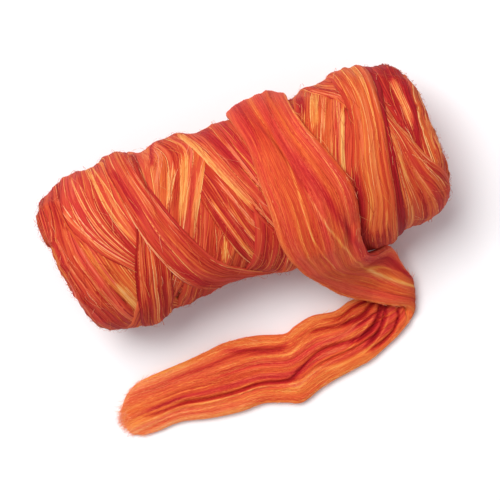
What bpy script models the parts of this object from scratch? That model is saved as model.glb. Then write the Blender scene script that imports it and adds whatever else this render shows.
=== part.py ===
"""A wound roll of combed wool top that lies on its side, with its last turn loose.

Two solids: the roll, with its main wound bands raised, and the loose end, which
comes up the back of the roll, over its top and down its front, turns over where it
folds back on the surface and runs out to a brushed tip.

Metres, +Z up. The roll's axis is along X, its front is towards -Y, and the middle
of the flat spot that it rests on is the origin. Angles round the roll are in
degrees from its top: negative towards the back, positive towards the front.
"""

import math

import bmesh
import bpy
import numpy as np

MM = 0.001

# ---- the roll: driving sizes, in millimetres ----

AXIS_HEIGHT = 43.5          # axis above the surface
BOTTOM_RADIUS = 44.5        # axis to the pressed underside, cut flat at the surface
TOP_DROP = 0.8              # the top sits this much lower than a round section would
SIDE_SHARE = 0.5            # share of the underside over which the sides ease into it
BODY_HALF = 93.0            # straight stretch, each side of the middle
END_TRIM = {-1: 5.0, 1: 4.2}     # how much shorter the left and right ends are
CORNER_RADIUS = 19.0        # rounding where the turns fold back at each end
END_DOME = 2.5              # bulge of the end faces
DIMPLE_DEPTH = 3.6          # hollow at the middle of each end
DIMPLE_RADIUS = 15.0
RIM_SHARE = 1 / 6           # share of an end face's radius where its bands run out
END_LEAN = {-1: 0.085, 1: 0.04}  # how far the left and right ends lean, per unit of Y
LEAN_BEGIN = 10.0           # the lean starts this far short of the rounding
LEAN_LENGTH = 30.0
PRESSED_RISE = 3.0          # level of the bands where the roll's weight flattens them
PRESSED_HALF_DEG = 30.0

ROLL_STATIONS = 66
ROLL_ANGLES = 80
ROLL_COLOUR = (0.72, 0.10, 0.015)
ROLL_ROUGHNESS = 0.62

# Half breadths of the roll with its windings on, seen from above.
OUTLINE_COLUMNS = ("x", "back", "front")
OUTLINE = (
    (-96.0, 45.0, 45.3),
    (-84.0, 46.5, 47.0),
    (-72.0, 47.7, 47.2),
    (-60.0, 48.0, 45.7),
    (-48.0, 46.2, 45.8),
    (-36.0, 47.7, 42.5),
    (-24.0, 46.0, 41.6),
    (-12.0, 44.3, 43.6),
    (0.0, 43.8, 45.5),
    (12.0, 43.6, 47.5),
    (24.0, 43.6, 49.0),
    (36.0, 43.8, 50.3),
    (48.0, 44.0, 51.5),
    (60.0, 44.6, 52.8),
    (72.0, 46.6, 52.3),
    (84.0, 46.2, 49.6),
    (96.0, 43.5, 47.5),
)

# Wound bands, lowest first. Each runs from one angle to another, through three
# places along the roll, and is level + crown high in its middle. Past the straight
# stretch a place follows the profile round the corner and onto the end face.
BAND_COLUMNS = (
    "from_deg", "to_deg", "from_s", "middle_s", "to_s", "half_width", "level", "crown",
)
BANDS = (
    # underneath, sloping to the left as they come forward
    (-175.0, 60.0, 12.0, -27.0, -56.0, 17.0, 0.4, 2.0),
    (-110.0, 40.0, 66.0, 53.0, 42.0, 11.0, 0.4, 2.0),
    (-20.0, 170.0, -2.0, -24.0, -62.0, 14.0, 0.0, 2.0),
    (-175.0, -20.0, 40.0, 20.0, 6.0, 16.0, 0.3, 1.8),
    (20.0, 175.0, 30.0, 8.0, -20.0, 17.0, 0.3, 2.0),
    (-175.0, -70.0, -20.0, -36.0, -50.0, 14.0, 0.3, 2.0),
    (40.0, 175.0, 66.0, 52.0, 36.0, 15.0, 0.6, 2.0),
    # sloping to the right as they come forward
    (-70.0, 150.0, -104.0, -88.0, -60.0, 12.0, 1.2, 1.9),
    (-170.0, 60.0, -30.0, 2.0, 26.0, 12.0, 1.2, 1.9),
    (-130.0, 10.0, 44.0, 62.0, 74.0, 9.0, 1.2, 1.9),
    (60.0, 175.0, -48.0, -30.0, -6.0, 13.0, 1.0, 1.9),
    # the turns that fold back at the two ends
    (-175.0, 165.0, -114.0, -110.0, -106.0, 11.0, 0.9, 2.0),
    (-160.0, 175.0, 124.0, 119.0, 126.0, 10.0, 0.8, 2.0),
    (-175.0, 175.0, -140.0, -131.0, -137.0, 8.0, 0.9, 2.0),
    (-175.0, 175.0, 134.0, 140.0, 135.0, 8.0, 0.9, 2.0),
    (-165.0, 34.0, 98.0, 104.0, 107.0, 10.0, 1.8, 2.0),
    # the last bands laid on
    (-170.0, 94.0, -46.0, -14.0, 10.0, 10.0, 2.3, 1.9),
    (-170.0, 22.0, -90.0, -77.0, -69.0, 17.0, 2.2, 2.2),
    (-8.0, 165.0, 104.0, 94.0, 62.0, 12.0, 2.2, 2.0),
    (-6.0, 168.0, -63.0, -73.0, -98.0, 10.5, 2.9, 2.2),
    (-165.0, 72.0, -66.0, -55.0, -27.0, 14.0, 3.7, 2.2),
    (-170.0, 168.0, 72.0, 76.5, 48.0, 14.0, 3.5, 2.3),
    (-68.0, -18.0, -104.0, -110.5, -106.0, 8.0, 3.2, 2.0),
    # the turn that the loose end comes off
    (-178.0, -118.0, 40.0, 31.0, 23.0, 13.0, 2.6, 1.6),
)
BAND_END_FADE_DEG = 16.0
BAND_EDGE = 3.6             # width over which a band's edge drops to what lies under it
BAND_FULLNESS = 4           # how flat a band's crown is across its middle
SEAM_DEPTH = 1.0            # how far a band presses in what it crosses, along its edges
SEAM_WIDTH = 3.4
SIDE_AVERAGE = 14.0         # stretch over which the bands at the sides count as one level
SIDE_SAMPLES = 9

# ---- the loose end: driving sizes, in millimetres ----

CLEARANCE = 0.6             # between the loose end and the highest bands that it crosses
BRIDGE_S = 3.5              # how far round a point its underside looks for a higher band
BRIDGE_DEG = 5.0
TAIL_STEPS = 112            # sections along the loose end
TAIL_FACES = 15             # faces across each of its two sides
TAIL_EDGE = 0.16            # edge thickness, as a share of the middle's
TAIL_FULLNESS = 2.6         # how square its section is
TAIL_COLOUR = (0.86, 0.17, 0.02)
TAIL_ROUGHNESS = 0.6
MIDDLE_STEP = 0.1           # rows between stations of its middle surface
MIDDLE_COLUMNS = 41
NORMAL_PASSES = 24          # smoothing of the direction of its thickness
TURN_ROW = 17.6             # row where the fold turns its other side up
TURN_FADE = 1.2             # rows over which it does
FOLD_ROW = 17.2             # row at the middle of the fold
FOLD_SPREAD = 1.3
FOLD_PRESSED = 2.6          # how much thinner the sheet is on the inside of the fold

# Where the loose end lies on the roll: its two edges and its thickness.
WRAP_COLUMNS = ("angle_deg", "left_x", "right_x", "thick")
WRAP = (
    (-142.0, 15.0, 32.0, 1.6),
    (-122.0, 12.0, 36.0, 4.0),
    (-92.0, 7.0, 41.5, 6.2),
    (-58.0, 8.0, 41.0, 6.4),
    (-28.0, 11.0, 43.5, 6.4),
    (-4.0, 10.0, 50.5, 6.4),
    (17.0, 9.5, 56.0, 6.4),
    (38.0, 8.5, 54.5, 6.8),
    (54.0, 10.5, 51.5, 7.4),
)

# Where it hangs, folds and lies on the surface: the middle of each edge.
FREE_COLUMNS = ("left_x", "left_y", "left_z", "right_x", "right_y", "right_z", "thick")
FREE = (
    (15.0, -51.6, 60.4, 51.5, -54.2, 60.4, 7.2),
    (19.5, -57.0, 48.0, 55.5, -56.6, 49.0, 8.0),
    (25.0, -64.0, 37.0, 62.0, -56.2, 39.0, 8.2),
    (30.3, -70.3, 27.5, 66.8, -55.8, 32.5, 8.6),
    (37.0, -75.6, 21.0, 69.0, -58.2, 27.5, 9.0),
    (44.3, -80.3, 17.0, 70.0, -62.6, 23.2, 9.0),
    (51.9, -85.2, 15.2, 70.9, -67.3, 19.5, 9.0),
    (58.8, -89.2, 13.2, 71.8, -71.8, 15.6, 8.8),
    (65.0, -92.8, 9.6, 72.4, -76.3, 10.4, 8.6),
    (65.6, -99.6, 5.8, 68.0, -78.5, 6.0, 8.2),
    (57.5, -105.6, 4.3, 59.1, -79.6, 4.6, 8.0),
    (48.0, -109.8, 4.0, 48.8, -78.6, 4.2, 7.8),
    (35.3, -114.4, 4.0, 36.0, -77.8, 4.0, 8.0),
    (22.0, -116.4, 4.0, 25.5, -80.2, 4.0, 8.2),
    (4.0, -119.0, 4.0, 12.0, -78.0, 4.2, 8.6),
    (-11.0, -123.4, 4.0, 0.5, -80.0, 4.2, 9.0),
    (-20.0, -120.2, 4.0, -7.0, -82.0, 4.2, 9.0),
    (-33.0, -115.8, 4.0, -23.0, -77.0, 4.0, 8.6),
    (-47.0, -115.6, 4.0, -41.0, -74.4, 4.0, 8.4),
    (-65.0, -112.8, 3.8, -54.0, -75.4, 3.8, 8.0),
    (-82.0, -108.6, 3.4, -67.0, -76.3, 3.4, 7.2),
    (-96.5, -108.8, 2.8, -82.5, -76.8, 2.8, 6.0),
    (-106.5, -107.4, 2.2, -96.5, -78.0, 2.2, 4.6),
    (-112.0, -104.0, 1.6, -106.5, -82.8, 1.6, 3.2),
    (-113.5, -98.0, 1.0, -112.3, -90.0, 1.0, 1.9),
)

# Pleats and creases on the side that shows: the rows they run through, counted through
# both tables, their place across at each (-1 the edge that starts as the left one, 1 the
# other), their depth and half width.
CREASE_COLUMNS = ("rows", "places", "depth", "half_width")
CREASES = (
    ((0.6, 15.0), (-0.10, -0.30), 0.7, 0.12),
    ((1.2, 15.0), (0.30, 0.34), 0.9, 0.12),
    ((6.0, 15.0), (0.66, 0.70), 0.8, 0.11),
    ((19.0, 20.0, 20.6, 21.6, 22.6, 23.6), (0.90, 0.70, 0.42, 0.45, 0.55, 0.62), 2.2, 0.11),
    ((18.8, 19.6, 20.1, 21.1, 22.4, 23.8), (0.86, 0.58, 0.07, -0.20, -0.02, -0.13), 2.6, 0.11),
    ((22.4, 23.8, 24.9, 26.5, 29.5), (-0.02, -0.13, -0.36, -0.42, -0.34), 1.6, 0.11),
    ((18.4, 19.2, 19.5, 19.8, 20.1, 21.2), (0.80, 0.55, 0.30, -0.05, -0.27, -0.50), 2.2, 0.11),
    ((18.0, 18.6, 18.8, 19.2, 20.0, 21.2), (0.60, 0.40, -0.17, -0.55, -0.74, -0.66), 1.8, 0.11),
    ((24.6, 25.6, 26.4, 27.2), (0.80, 0.52, 0.62, 0.86), 0.9, 0.11),
)
CREASE_FADE = 0.8
CREASE_SLANT = 1.4          # how far a slanting crease is widened, so that it stays as broad
SLANT_STEP = 0.1            # rows over which its slant is read


def smoothstep(value):
    """Ease from 0 to 1, flat at both ends."""
    t = np.clip(value, 0.0, 1.0)
    return t * t * (3.0 - 2.0 * t)


def column(table, names, name):
    """One named column of a table."""
    return np.array([row[names.index(name)] for row in table])


def smooth_column(table, names, name, at):
    """A named column read at fractional rows, along a curve through every row."""
    values = column(table, names, name)
    rows = np.arange(len(values))
    slopes = np.gradient(values)
    low = np.clip(np.floor(at).astype(int), 0, len(values) - 2)
    t = at - rows[low]
    h00 = 2 * t**3 - 3 * t**2 + 1
    h10 = t**3 - 2 * t**2 + t
    h01 = -2 * t**3 + 3 * t**2
    h11 = t**3 - t**2
    return h00 * values[low] + h10 * slopes[low] + h01 * values[low + 1] + h11 * slopes[low + 1]


# ---- the wound surface ----

CORNER_LENGTH = CORNER_RADIUS * math.pi / 2
FACE_RADIUS = BOTTOM_RADIUS - CORNER_RADIUS
HALF_PROFILE = BODY_HALF + CORNER_LENGTH + FACE_RADIUS


def band_place(band, degrees):
    """Place along the profile of a band's middle, through its three given places."""
    t = (degrees - band["from_deg"]) / (band["to_deg"] - band["from_deg"])
    start = band["from_s"] * (1 - t) * (1 - 2 * t)
    middle = band["middle_s"] * 4 * t * (1 - t)
    stop = band["to_s"] * t * (2 * t - 1)
    return start + middle + stop


def band_rise(s, degrees):
    """Height of the wound bands above the roll's body, the topmost band counting."""
    rise = np.zeros(np.broadcast(s, degrees).shape)
    for row in BANDS:
        band = dict(zip(BAND_COLUMNS, row))
        away = np.abs(s - band_place(band, degrees))
        begun = smoothstep((degrees - band["from_deg"]) / BAND_END_FADE_DEG)
        ended = smoothstep((band["to_deg"] - degrees) / BAND_END_FADE_DEG)
        present = begun * ended
        inside = np.minimum(away / band["half_width"], 1.0)
        height = (band["level"] + band["crown"] * (1 - inside**BAND_FULLNESS)) * present
        cover = smoothstep((band["half_width"] - away) / BAND_EDGE)
        seam = SEAM_DEPTH * np.exp(-(((away - band["half_width"]) / SEAM_WIDTH) ** 2)) * present
        rise = (rise - seam) * (1 - cover) + np.maximum(rise, height) * cover
    pressed = 1 - smoothstep((180.0 - np.abs(degrees)) / PRESSED_HALF_DEG)
    return rise * (1 - pressed) + PRESSED_RISE * pressed


def body_breadth(s, x, side, degrees):
    """Half breadth of the roll's body at one side: its outline less the bands there."""
    outline = np.interp(x, column(OUTLINE, OUTLINE_COLUMNS, "x"), column(OUTLINE, OUTLINE_COLUMNS, side))
    offsets = np.linspace(-SIDE_AVERAGE, SIDE_AVERAGE, SIDE_SAMPLES)
    bands = [band_rise(s + offset, np.full(s.shape, degrees)) for offset in offsets]
    return outline - np.mean(bands, axis=0)


def profile(s):
    """Reach along X, inset from the body's radius and outward direction at s."""
    side = np.sign(s)
    past = np.maximum(np.abs(s) - BODY_HALF, 0.0)
    turn = np.minimum(past / CORNER_RADIUS, math.pi / 2)
    inward = np.maximum(past - CORNER_LENGTH, 0.0)
    dome = END_DOME * np.sin(math.pi / 2 * smoothstep(inward / FACE_RADIUS))
    hollow = DIMPLE_DEPTH * smoothstep((inward - FACE_RADIUS + DIMPLE_RADIUS) / DIMPLE_RADIUS)
    trim = np.where(s < 0, END_TRIM[-1], END_TRIM[1]) * smoothstep((np.abs(s) - BODY_HALF / 2) / BODY_HALF)
    reach = np.minimum(np.abs(s), BODY_HALF) + CORNER_RADIUS * np.sin(turn) + dome - hollow - trim
    inset = CORNER_RADIUS * (1 - np.cos(turn)) + inward
    return side * reach, inset, side * np.sin(turn), np.cos(turn)


def wound_point(s, degrees, lift=0.0):
    """Point on the wound surface, in millimetres, or lifted off it."""
    s, degrees = np.broadcast_arrays(np.asarray(s, float), np.asarray(degrees, float))
    x, inset, along, outward = profile(s)
    back = body_breadth(s, x, "back", -90.0)
    front = body_breadth(s, x, "front", 90.0)
    middle = (back + front) / 2
    sine = np.sin(np.radians(degrees))
    cosine = np.cos(np.radians(degrees))
    breadth = middle + (front - back) / 2 * sine
    below = BOTTOM_RADIUS - PRESSED_RISE
    under = middle + (below - middle) * smoothstep(-cosine / SIDE_SHARE)
    depth = np.where(cosine >= 0, middle - TOP_DROP, under)
    shrink = np.clip(1 - inset / (CORNER_RADIUS + FACE_RADIUS), 0.0, 1.0)
    rise = band_rise(s, degrees) * smoothstep(shrink / RIM_SHARE) + lift
    y = -(breadth * shrink + rise * outward) * sine
    z = AXIS_HEIGHT + (depth * shrink + rise * outward) * cosine
    end_share = smoothstep((np.abs(s) - BODY_HALF + LEAN_BEGIN) / LEAN_LENGTH)
    lean = np.where(s < 0, END_LEAN[-1], END_LEAN[1])
    x = x + rise * along - lean * y * end_share
    return np.stack((x, y, z), axis=-1)


def add_mesh(name, points, faces, colour, roughness):
    """Put a closed mesh, given in millimetres, in the part's collection with its own material."""
    mesh = bpy.data.meshes.new(name)
    mesh.from_pydata((np.asarray(points) * MM).tolist(), [], faces)
    bm = bmesh.new()
    bm.from_mesh(mesh)
    bmesh.ops.recalc_face_normals(bm, faces=bm.faces)
    bm.to_mesh(mesh)
    bm.free()
    part = bpy.data.objects.new(name, mesh)
    part.data.materials.append(make_material(name, colour, roughness))
    part_collection.objects.link(part)
    return part


def make_material(name, colour, roughness):
    """A plain fibre finish in the piece's main colour."""
    material = bpy.data.materials.new(name + "_wool")
    material.use_nodes = True
    shader = material.node_tree.nodes["Principled BSDF"]
    shader.inputs["Base Color"].default_value = (*colour, 1.0)
    shader.inputs["Roughness"].default_value = roughness
    shader.inputs["Metallic"].default_value = 0.0
    return material


def ring_faces(rings, around):
    """Faces between neighbouring closed rings of points."""
    faces = []
    for ring in range(rings - 1):
        here = ring * around
        beyond = here + around
        for step in range(around):
            following = (step + 1) % around
            faces.append((here + step, here + following, beyond + following, beyond + step))
    return faces


def make_roll():
    """The wound roll: rings from one end's hollow to the other's, cut flat where it rests."""
    stations = np.linspace(-HALF_PROFILE, HALF_PROFILE, ROLL_STATIONS + 1)[1:-1]
    angles = np.linspace(-180.0, 180.0, ROLL_ANGLES, endpoint=False)
    grid = wound_point(stations[:, None], angles[None, :])
    ends = wound_point(np.array([-HALF_PROFILE, HALF_PROFILE]), np.zeros(2))
    points = np.vstack((grid.reshape(-1, 3), ends))
    faces = ring_faces(len(stations), ROLL_ANGLES)
    last = (len(stations) - 1) * ROLL_ANGLES
    for step in range(ROLL_ANGLES):
        following = (step + 1) % ROLL_ANGLES
        faces.append((len(points) - 2, following, step))
        faces.append((len(points) - 1, last + step, last + following))
    roll = add_mesh("roll", points, faces, ROLL_COLOUR, ROLL_ROUGHNESS)
    cut_flat(roll)
    return roll


def cut_flat(part):
    """Cut off what is below the surface and close the flat spot."""
    bm = bmesh.new()
    bm.from_mesh(part.data)
    everything = bm.verts[:] + bm.edges[:] + bm.faces[:]
    bmesh.ops.bisect_plane(
        bm, geom=everything, dist=1e-6, plane_co=(0, 0, 0), plane_no=(0, 0, -1), clear_outer=True
    )
    rim = [edge for edge in bm.edges if edge.is_boundary]
    bmesh.ops.holes_fill(bm, edges=rim)
    bmesh.ops.recalc_face_normals(bm, faces=bm.faces)
    bm.to_mesh(part.data)
    bm.free()


# ---- the loose end ----

WRAP_ROWS = len(WRAP)
TAIL_ROWS = WRAP_ROWS + len(FREE)


def wrap_middle(at, across):
    """Middle surface of the loose end where it lies on the roll."""
    degrees = smooth_column(WRAP, WRAP_COLUMNS, "angle_deg", at)
    left = smooth_column(WRAP, WRAP_COLUMNS, "left_x", at)
    right = smooth_column(WRAP, WRAP_COLUMNS, "right_x", at)
    x = left + (right - left) * (across + 1) / 2
    return x, degrees


def free_middle(at, across):
    """Middle surface of the loose end where it hangs, folds and lies."""
    left = np.stack([smooth_column(FREE, FREE_COLUMNS, "left_" + axis, at) for axis in "xyz"], axis=-1)
    right = np.stack([smooth_column(FREE, FREE_COLUMNS, "right_" + axis, at) for axis in "xyz"], axis=-1)
    share = ((across + 1) / 2)[..., None]
    return left * (1 - share) + right * share


def free_normals():
    """Direction of the free part's thickness on a grid of rows by places across."""
    rows = np.arange(0.0, len(FREE) - 1.0 + MIDDLE_STEP / 2, MIDDLE_STEP)
    across = np.linspace(-1.0, 1.0, MIDDLE_COLUMNS)
    middle = free_middle(*np.broadcast_arrays(rows[:, None], across[None, :]))
    normals = np.cross(np.gradient(middle, axis=0), np.gradient(middle, axis=1))
    for _ in range(NORMAL_PASSES):
        normals = normals / np.linalg.norm(normals, axis=-1, keepdims=True)
        padded = np.pad(normals, ((1, 1), (1, 1), (0, 0)), mode="edge")
        lengthwise = padded[:-2, 1:-1] + padded[2:, 1:-1]
        sideways = padded[1:-1, :-2] + padded[1:-1, 2:]
        normals = 2 * normals + lengthwise + sideways
    return normals / np.linalg.norm(normals, axis=-1, keepdims=True)


def read_grid(grid, at, across):
    """A grid of rows by places across, read between its stations."""
    row = np.clip(at / MIDDLE_STEP, 0.0, len(grid) - 1.001)
    place = np.clip((across + 1) / 2 * (MIDDLE_COLUMNS - 1), 0.0, MIDDLE_COLUMNS - 1.001)
    r, c = row.astype(int), place.astype(int)
    further, aside = (row - r)[..., None], (place - c)[..., None]
    low = grid[r, c] * (1 - aside) + grid[r, c + 1] * aside
    high = grid[r + 1, c] * (1 - aside) + grid[r + 1, c + 1] * aside
    return low * (1 - further) + high * further


def bridging_lift(x, degrees):
    """How far the bands close by stand above the wound surface at a point."""
    here = band_rise(x, degrees)
    highest = here
    for along in (-1, 0, 1):
        for round_by in (-1, 0, 1):
            near = band_rise(x + along * BRIDGE_S, degrees + round_by * BRIDGE_DEG)
            highest = np.maximum(highest, near)
    return highest - here


def thickness_across(across):
    """Share of the full thickness: rounded, thinner at both edges."""
    full = np.sqrt(np.clip(1 - np.abs(across) ** TAIL_FULLNESS, 0.0, 1.0))
    return TAIL_EDGE + (1 - TAIL_EDGE) * full


def crease_depth(at, across):
    """How deep the lengthwise creases cut the side that shows."""
    depth = np.zeros(np.broadcast(at, across).shape)
    for row in CREASES:
        crease = dict(zip(CREASE_COLUMNS, row))
        place = np.interp(at, crease["rows"], crease["places"])
        ahead = np.interp(at + SLANT_STEP, crease["rows"], crease["places"])
        slant = (ahead - place) / SLANT_STEP
        begun = smoothstep((at - crease["rows"][0]) / CREASE_FADE)
        ended = smoothstep((crease["rows"][-1] - at) / CREASE_FADE)
        away = (across - place) / (crease["half_width"] * np.hypot(1.0, CREASE_SLANT * slant))
        depth = np.maximum(depth, crease["depth"] * begun * ended * np.exp(-away * away))
    return depth


def loose_skin(side):
    """One side of the loose end, 1 the side that starts upward, as sections by places across."""
    at = np.linspace(0.0, TAIL_ROWS - 1.0, TAIL_STEPS)[:, None]
    across = np.sin(np.linspace(-math.pi / 2, math.pi / 2, TAIL_FACES + 1))[None, :]
    at, across = np.broadcast_arrays(at, across)
    wrap_at = np.minimum(at, WRAP_ROWS - 1.0)
    x, degrees = wrap_middle(wrap_at, across)
    turned = smoothstep((at - TURN_ROW) / TURN_FADE + 0.5)
    shows = 1 - turned if side > 0 else turned
    crease = crease_depth(at, across) * shows
    wrap_thick = smooth_column(WRAP, WRAP_COLUMNS, "thick", wrap_at) * thickness_across(across)
    lift = CLEARANCE + bridging_lift(x, degrees) + (wrap_thick - crease if side > 0 else 0.0)
    on_roll = wound_point(x, degrees, lift)
    free_at = np.maximum(at - WRAP_ROWS, 0.0)
    free_thick = smooth_column(FREE, FREE_COLUMNS, "thick", free_at) * thickness_across(across)
    pressed = FOLD_PRESSED * np.exp(-(((at - FOLD_ROW) / FOLD_SPREAD) ** 2)) * thickness_across(across)
    off = side * (free_thick / 2 - crease - (pressed if side < 0 else 0.0))
    hanging = free_middle(free_at, across) + off[..., None] * read_grid(free_normals(), free_at, across)
    free_share = smoothstep(at - WRAP_ROWS + 1)[..., None]
    skin = on_roll * (1 - free_share) + hanging * free_share
    skin[..., 2] = np.maximum(skin[..., 2], 0.0)
    return skin


def make_loose_end():
    """The loose last turn: its two sides joined along its edges and at both ends."""
    far_side = loose_skin(-1)[:, 1:-1][:, ::-1]
    rings = np.concatenate((loose_skin(1), far_side), axis=1)
    around = rings.shape[1]
    faces = ring_faces(TAIL_STEPS, around)
    last = (TAIL_STEPS - 1) * around
    faces.append(tuple(range(around)))
    faces.append(tuple(reversed(range(last, last + around))))
    return add_mesh("loose_end", rings.reshape(-1, 3), faces, TAIL_COLOUR, TAIL_ROUGHNESS)


for old in list(bpy.data.objects):
    bpy.data.objects.remove(old, do_unlink=True)

part_collection = bpy.data.collections.new("wool_roving_roll")
bpy.context.scene.collection.children.link(part_collection)

for piece in (make_roll(), make_loose_end()):
    piece.data.shade_smooth()
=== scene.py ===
"""The look of a cross-wound roll of combed wool top with its last turn loose.

The roll is dressed with bands of combed fibre, each a closed ribbon with its own
ridges and streaks, laid over one another in winding order. The loose end is one
draped sheet of fibre with pleats, and thin locks and stray fibres lie on both.
Lengths in this file are in millimetres until a mesh is made.
"""

import math

import bpy
import numpy as np
from mathutils import Matrix, Vector


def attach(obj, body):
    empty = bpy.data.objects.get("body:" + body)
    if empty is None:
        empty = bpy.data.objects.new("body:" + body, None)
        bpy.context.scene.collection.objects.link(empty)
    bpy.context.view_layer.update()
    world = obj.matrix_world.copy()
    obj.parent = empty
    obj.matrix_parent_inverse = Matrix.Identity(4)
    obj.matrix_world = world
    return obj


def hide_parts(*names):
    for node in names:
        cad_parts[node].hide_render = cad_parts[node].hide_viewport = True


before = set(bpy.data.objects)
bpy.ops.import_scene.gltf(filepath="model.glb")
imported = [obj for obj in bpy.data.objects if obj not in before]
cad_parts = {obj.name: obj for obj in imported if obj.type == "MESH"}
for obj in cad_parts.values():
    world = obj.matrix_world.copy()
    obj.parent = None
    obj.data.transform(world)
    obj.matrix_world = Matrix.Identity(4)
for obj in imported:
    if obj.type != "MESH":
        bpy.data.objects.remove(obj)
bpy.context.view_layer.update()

MM = 0.001
IMAGE_PIXELS = 500

# ---- camera: straight above, the roll's axis turned 21 degrees in the picture ----

CAMERA_HEIGHT = 1000.0      # above the roll's axis
CAMERA_X = -8.0
CAMERA_Y = -29.0
CAMERA_TURN_DEG = -21.0
MM_PER_PIXEL = 0.564        # at the height of the roll's axis
SENSOR_WIDTH = 36.0

# ---- the roll's body: the same driving sizes as its solid ----

AXIS_HEIGHT = 43.5
BOTTOM_RADIUS = 44.5
TOP_DROP = 0.8
BODY_HALF = 93.0
END_TRIM = {-1: 5.0, 1: 4.2}
CORNER_RADIUS = 19.0
END_DOME = 2.5
DIMPLE_DEPTH = 3.6
DIMPLE_RADIUS = 15.0
END_LEAN = {-1: 0.085, 1: 0.04}
PRESSED_RISE = 3.0
PRESSED_HALF_DEG = 30.0
SIDE_AVERAGE = 14.0
SIDE_SAMPLES = 9
LEAN_BEFORE = 10.0          # where the ends' lean begins, before the body's half length
LEAN_FADE = 30.0
CORNER_LENGTH = CORNER_RADIUS * math.pi / 2
FACE_RADIUS = BOTTOM_RADIUS - CORNER_RADIUS
HALF_PROFILE = BODY_HALF + CORNER_LENGTH + FACE_RADIUS
PROFILE_STATIONS = 400

OUTLINE_COLUMNS = ("x", "back", "front")
OUTLINE = (
    (-96, 45, 45.3),
    (-84, 46.5, 47),
    (-72, 47.7, 47.2),
    (-60, 48, 45.7),
    (-48, 46.2, 45.8),
    (-36, 47.7, 42.5),
    (-24, 46, 41.6),
    (-12, 44.3, 43.6),
    (0, 43.8, 45.5),
    (12, 43.6, 47.5),
    (24, 43.6, 49),
    (36, 43.8, 50.3),
    (48, 44, 51.5),
    (60, 44.6, 52.8),
    (72, 46.6, 52.3),
    (84, 46.2, 49.6),
    (96, 43.5, 47.5),
)

# The solid's wound bands, lowest first, which give the roll its lumps and outline.
SOLID_COLUMNS = ("from_deg", "to_deg", "from_s", "middle_s", "to_s", "half_width", "level", "crown")
SOLID_BANDS = (
    (-175, 60, 12, -27, -56, 17, 0.4, 2),
    (-110, 40, 66, 53, 42, 11, 0.4, 2),
    (-20, 170, -2, -24, -62, 14, 0, 2),
    (-175, -20, 40, 20, 6, 16, 0.3, 1.8),
    (20, 175, 30, 8, -20, 17, 0.3, 2),
    (-175, -70, -20, -36, -50, 14, 0.3, 2),
    (40, 175, 66, 52, 36, 15, 0.6, 2),
    (-70, 150, -104, -88, -60, 12, 1.2, 1.9),
    (-170, 60, -30, 2, 26, 12, 1.2, 1.9),
    (-130, 10, 44, 62, 74, 9, 1.2, 1.9),
    (60, 175, -48, -30, -6, 13, 1, 1.9),
    (-175, 165, -114, -110, -106, 11, 0.9, 2),
    (-160, 175, 124, 119, 126, 10, 0.8, 2),
    (-175, 175, -140, -131, -137, 8, 0.9, 2),
    (-175, 175, 134, 140, 135, 8, 0.9, 2),
    (-165, 34, 98, 104, 107, 10, 1.8, 2),
    (-170, 94, -46, -14, 10, 10, 2.3, 1.9),
    (-170, 22, -90, -77, -69, 17, 2.2, 2.2),
    (-8, 165, 104, 94, 62, 12, 2.2, 2),
    (-6, 168, -63, -73, -98, 10.5, 2.9, 2.2),
    (-165, 72, -66, -55, -27, 14, 3.7, 2.2),
    (-170, 168, 72, 76.5, 48, 14, 3.5, 2.3),
    (-68, -18, -104, -110.5, -106, 8, 3.2, 2),
    (-178, -118, 40, 31, 23, 13, 2.6, 1.6),
)
BAND_END_FADE_DEG = 16.0
BAND_EDGE = 3.6
SEAM_DEPTH = 1.0
SEAM_WIDTH = 3.4

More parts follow.
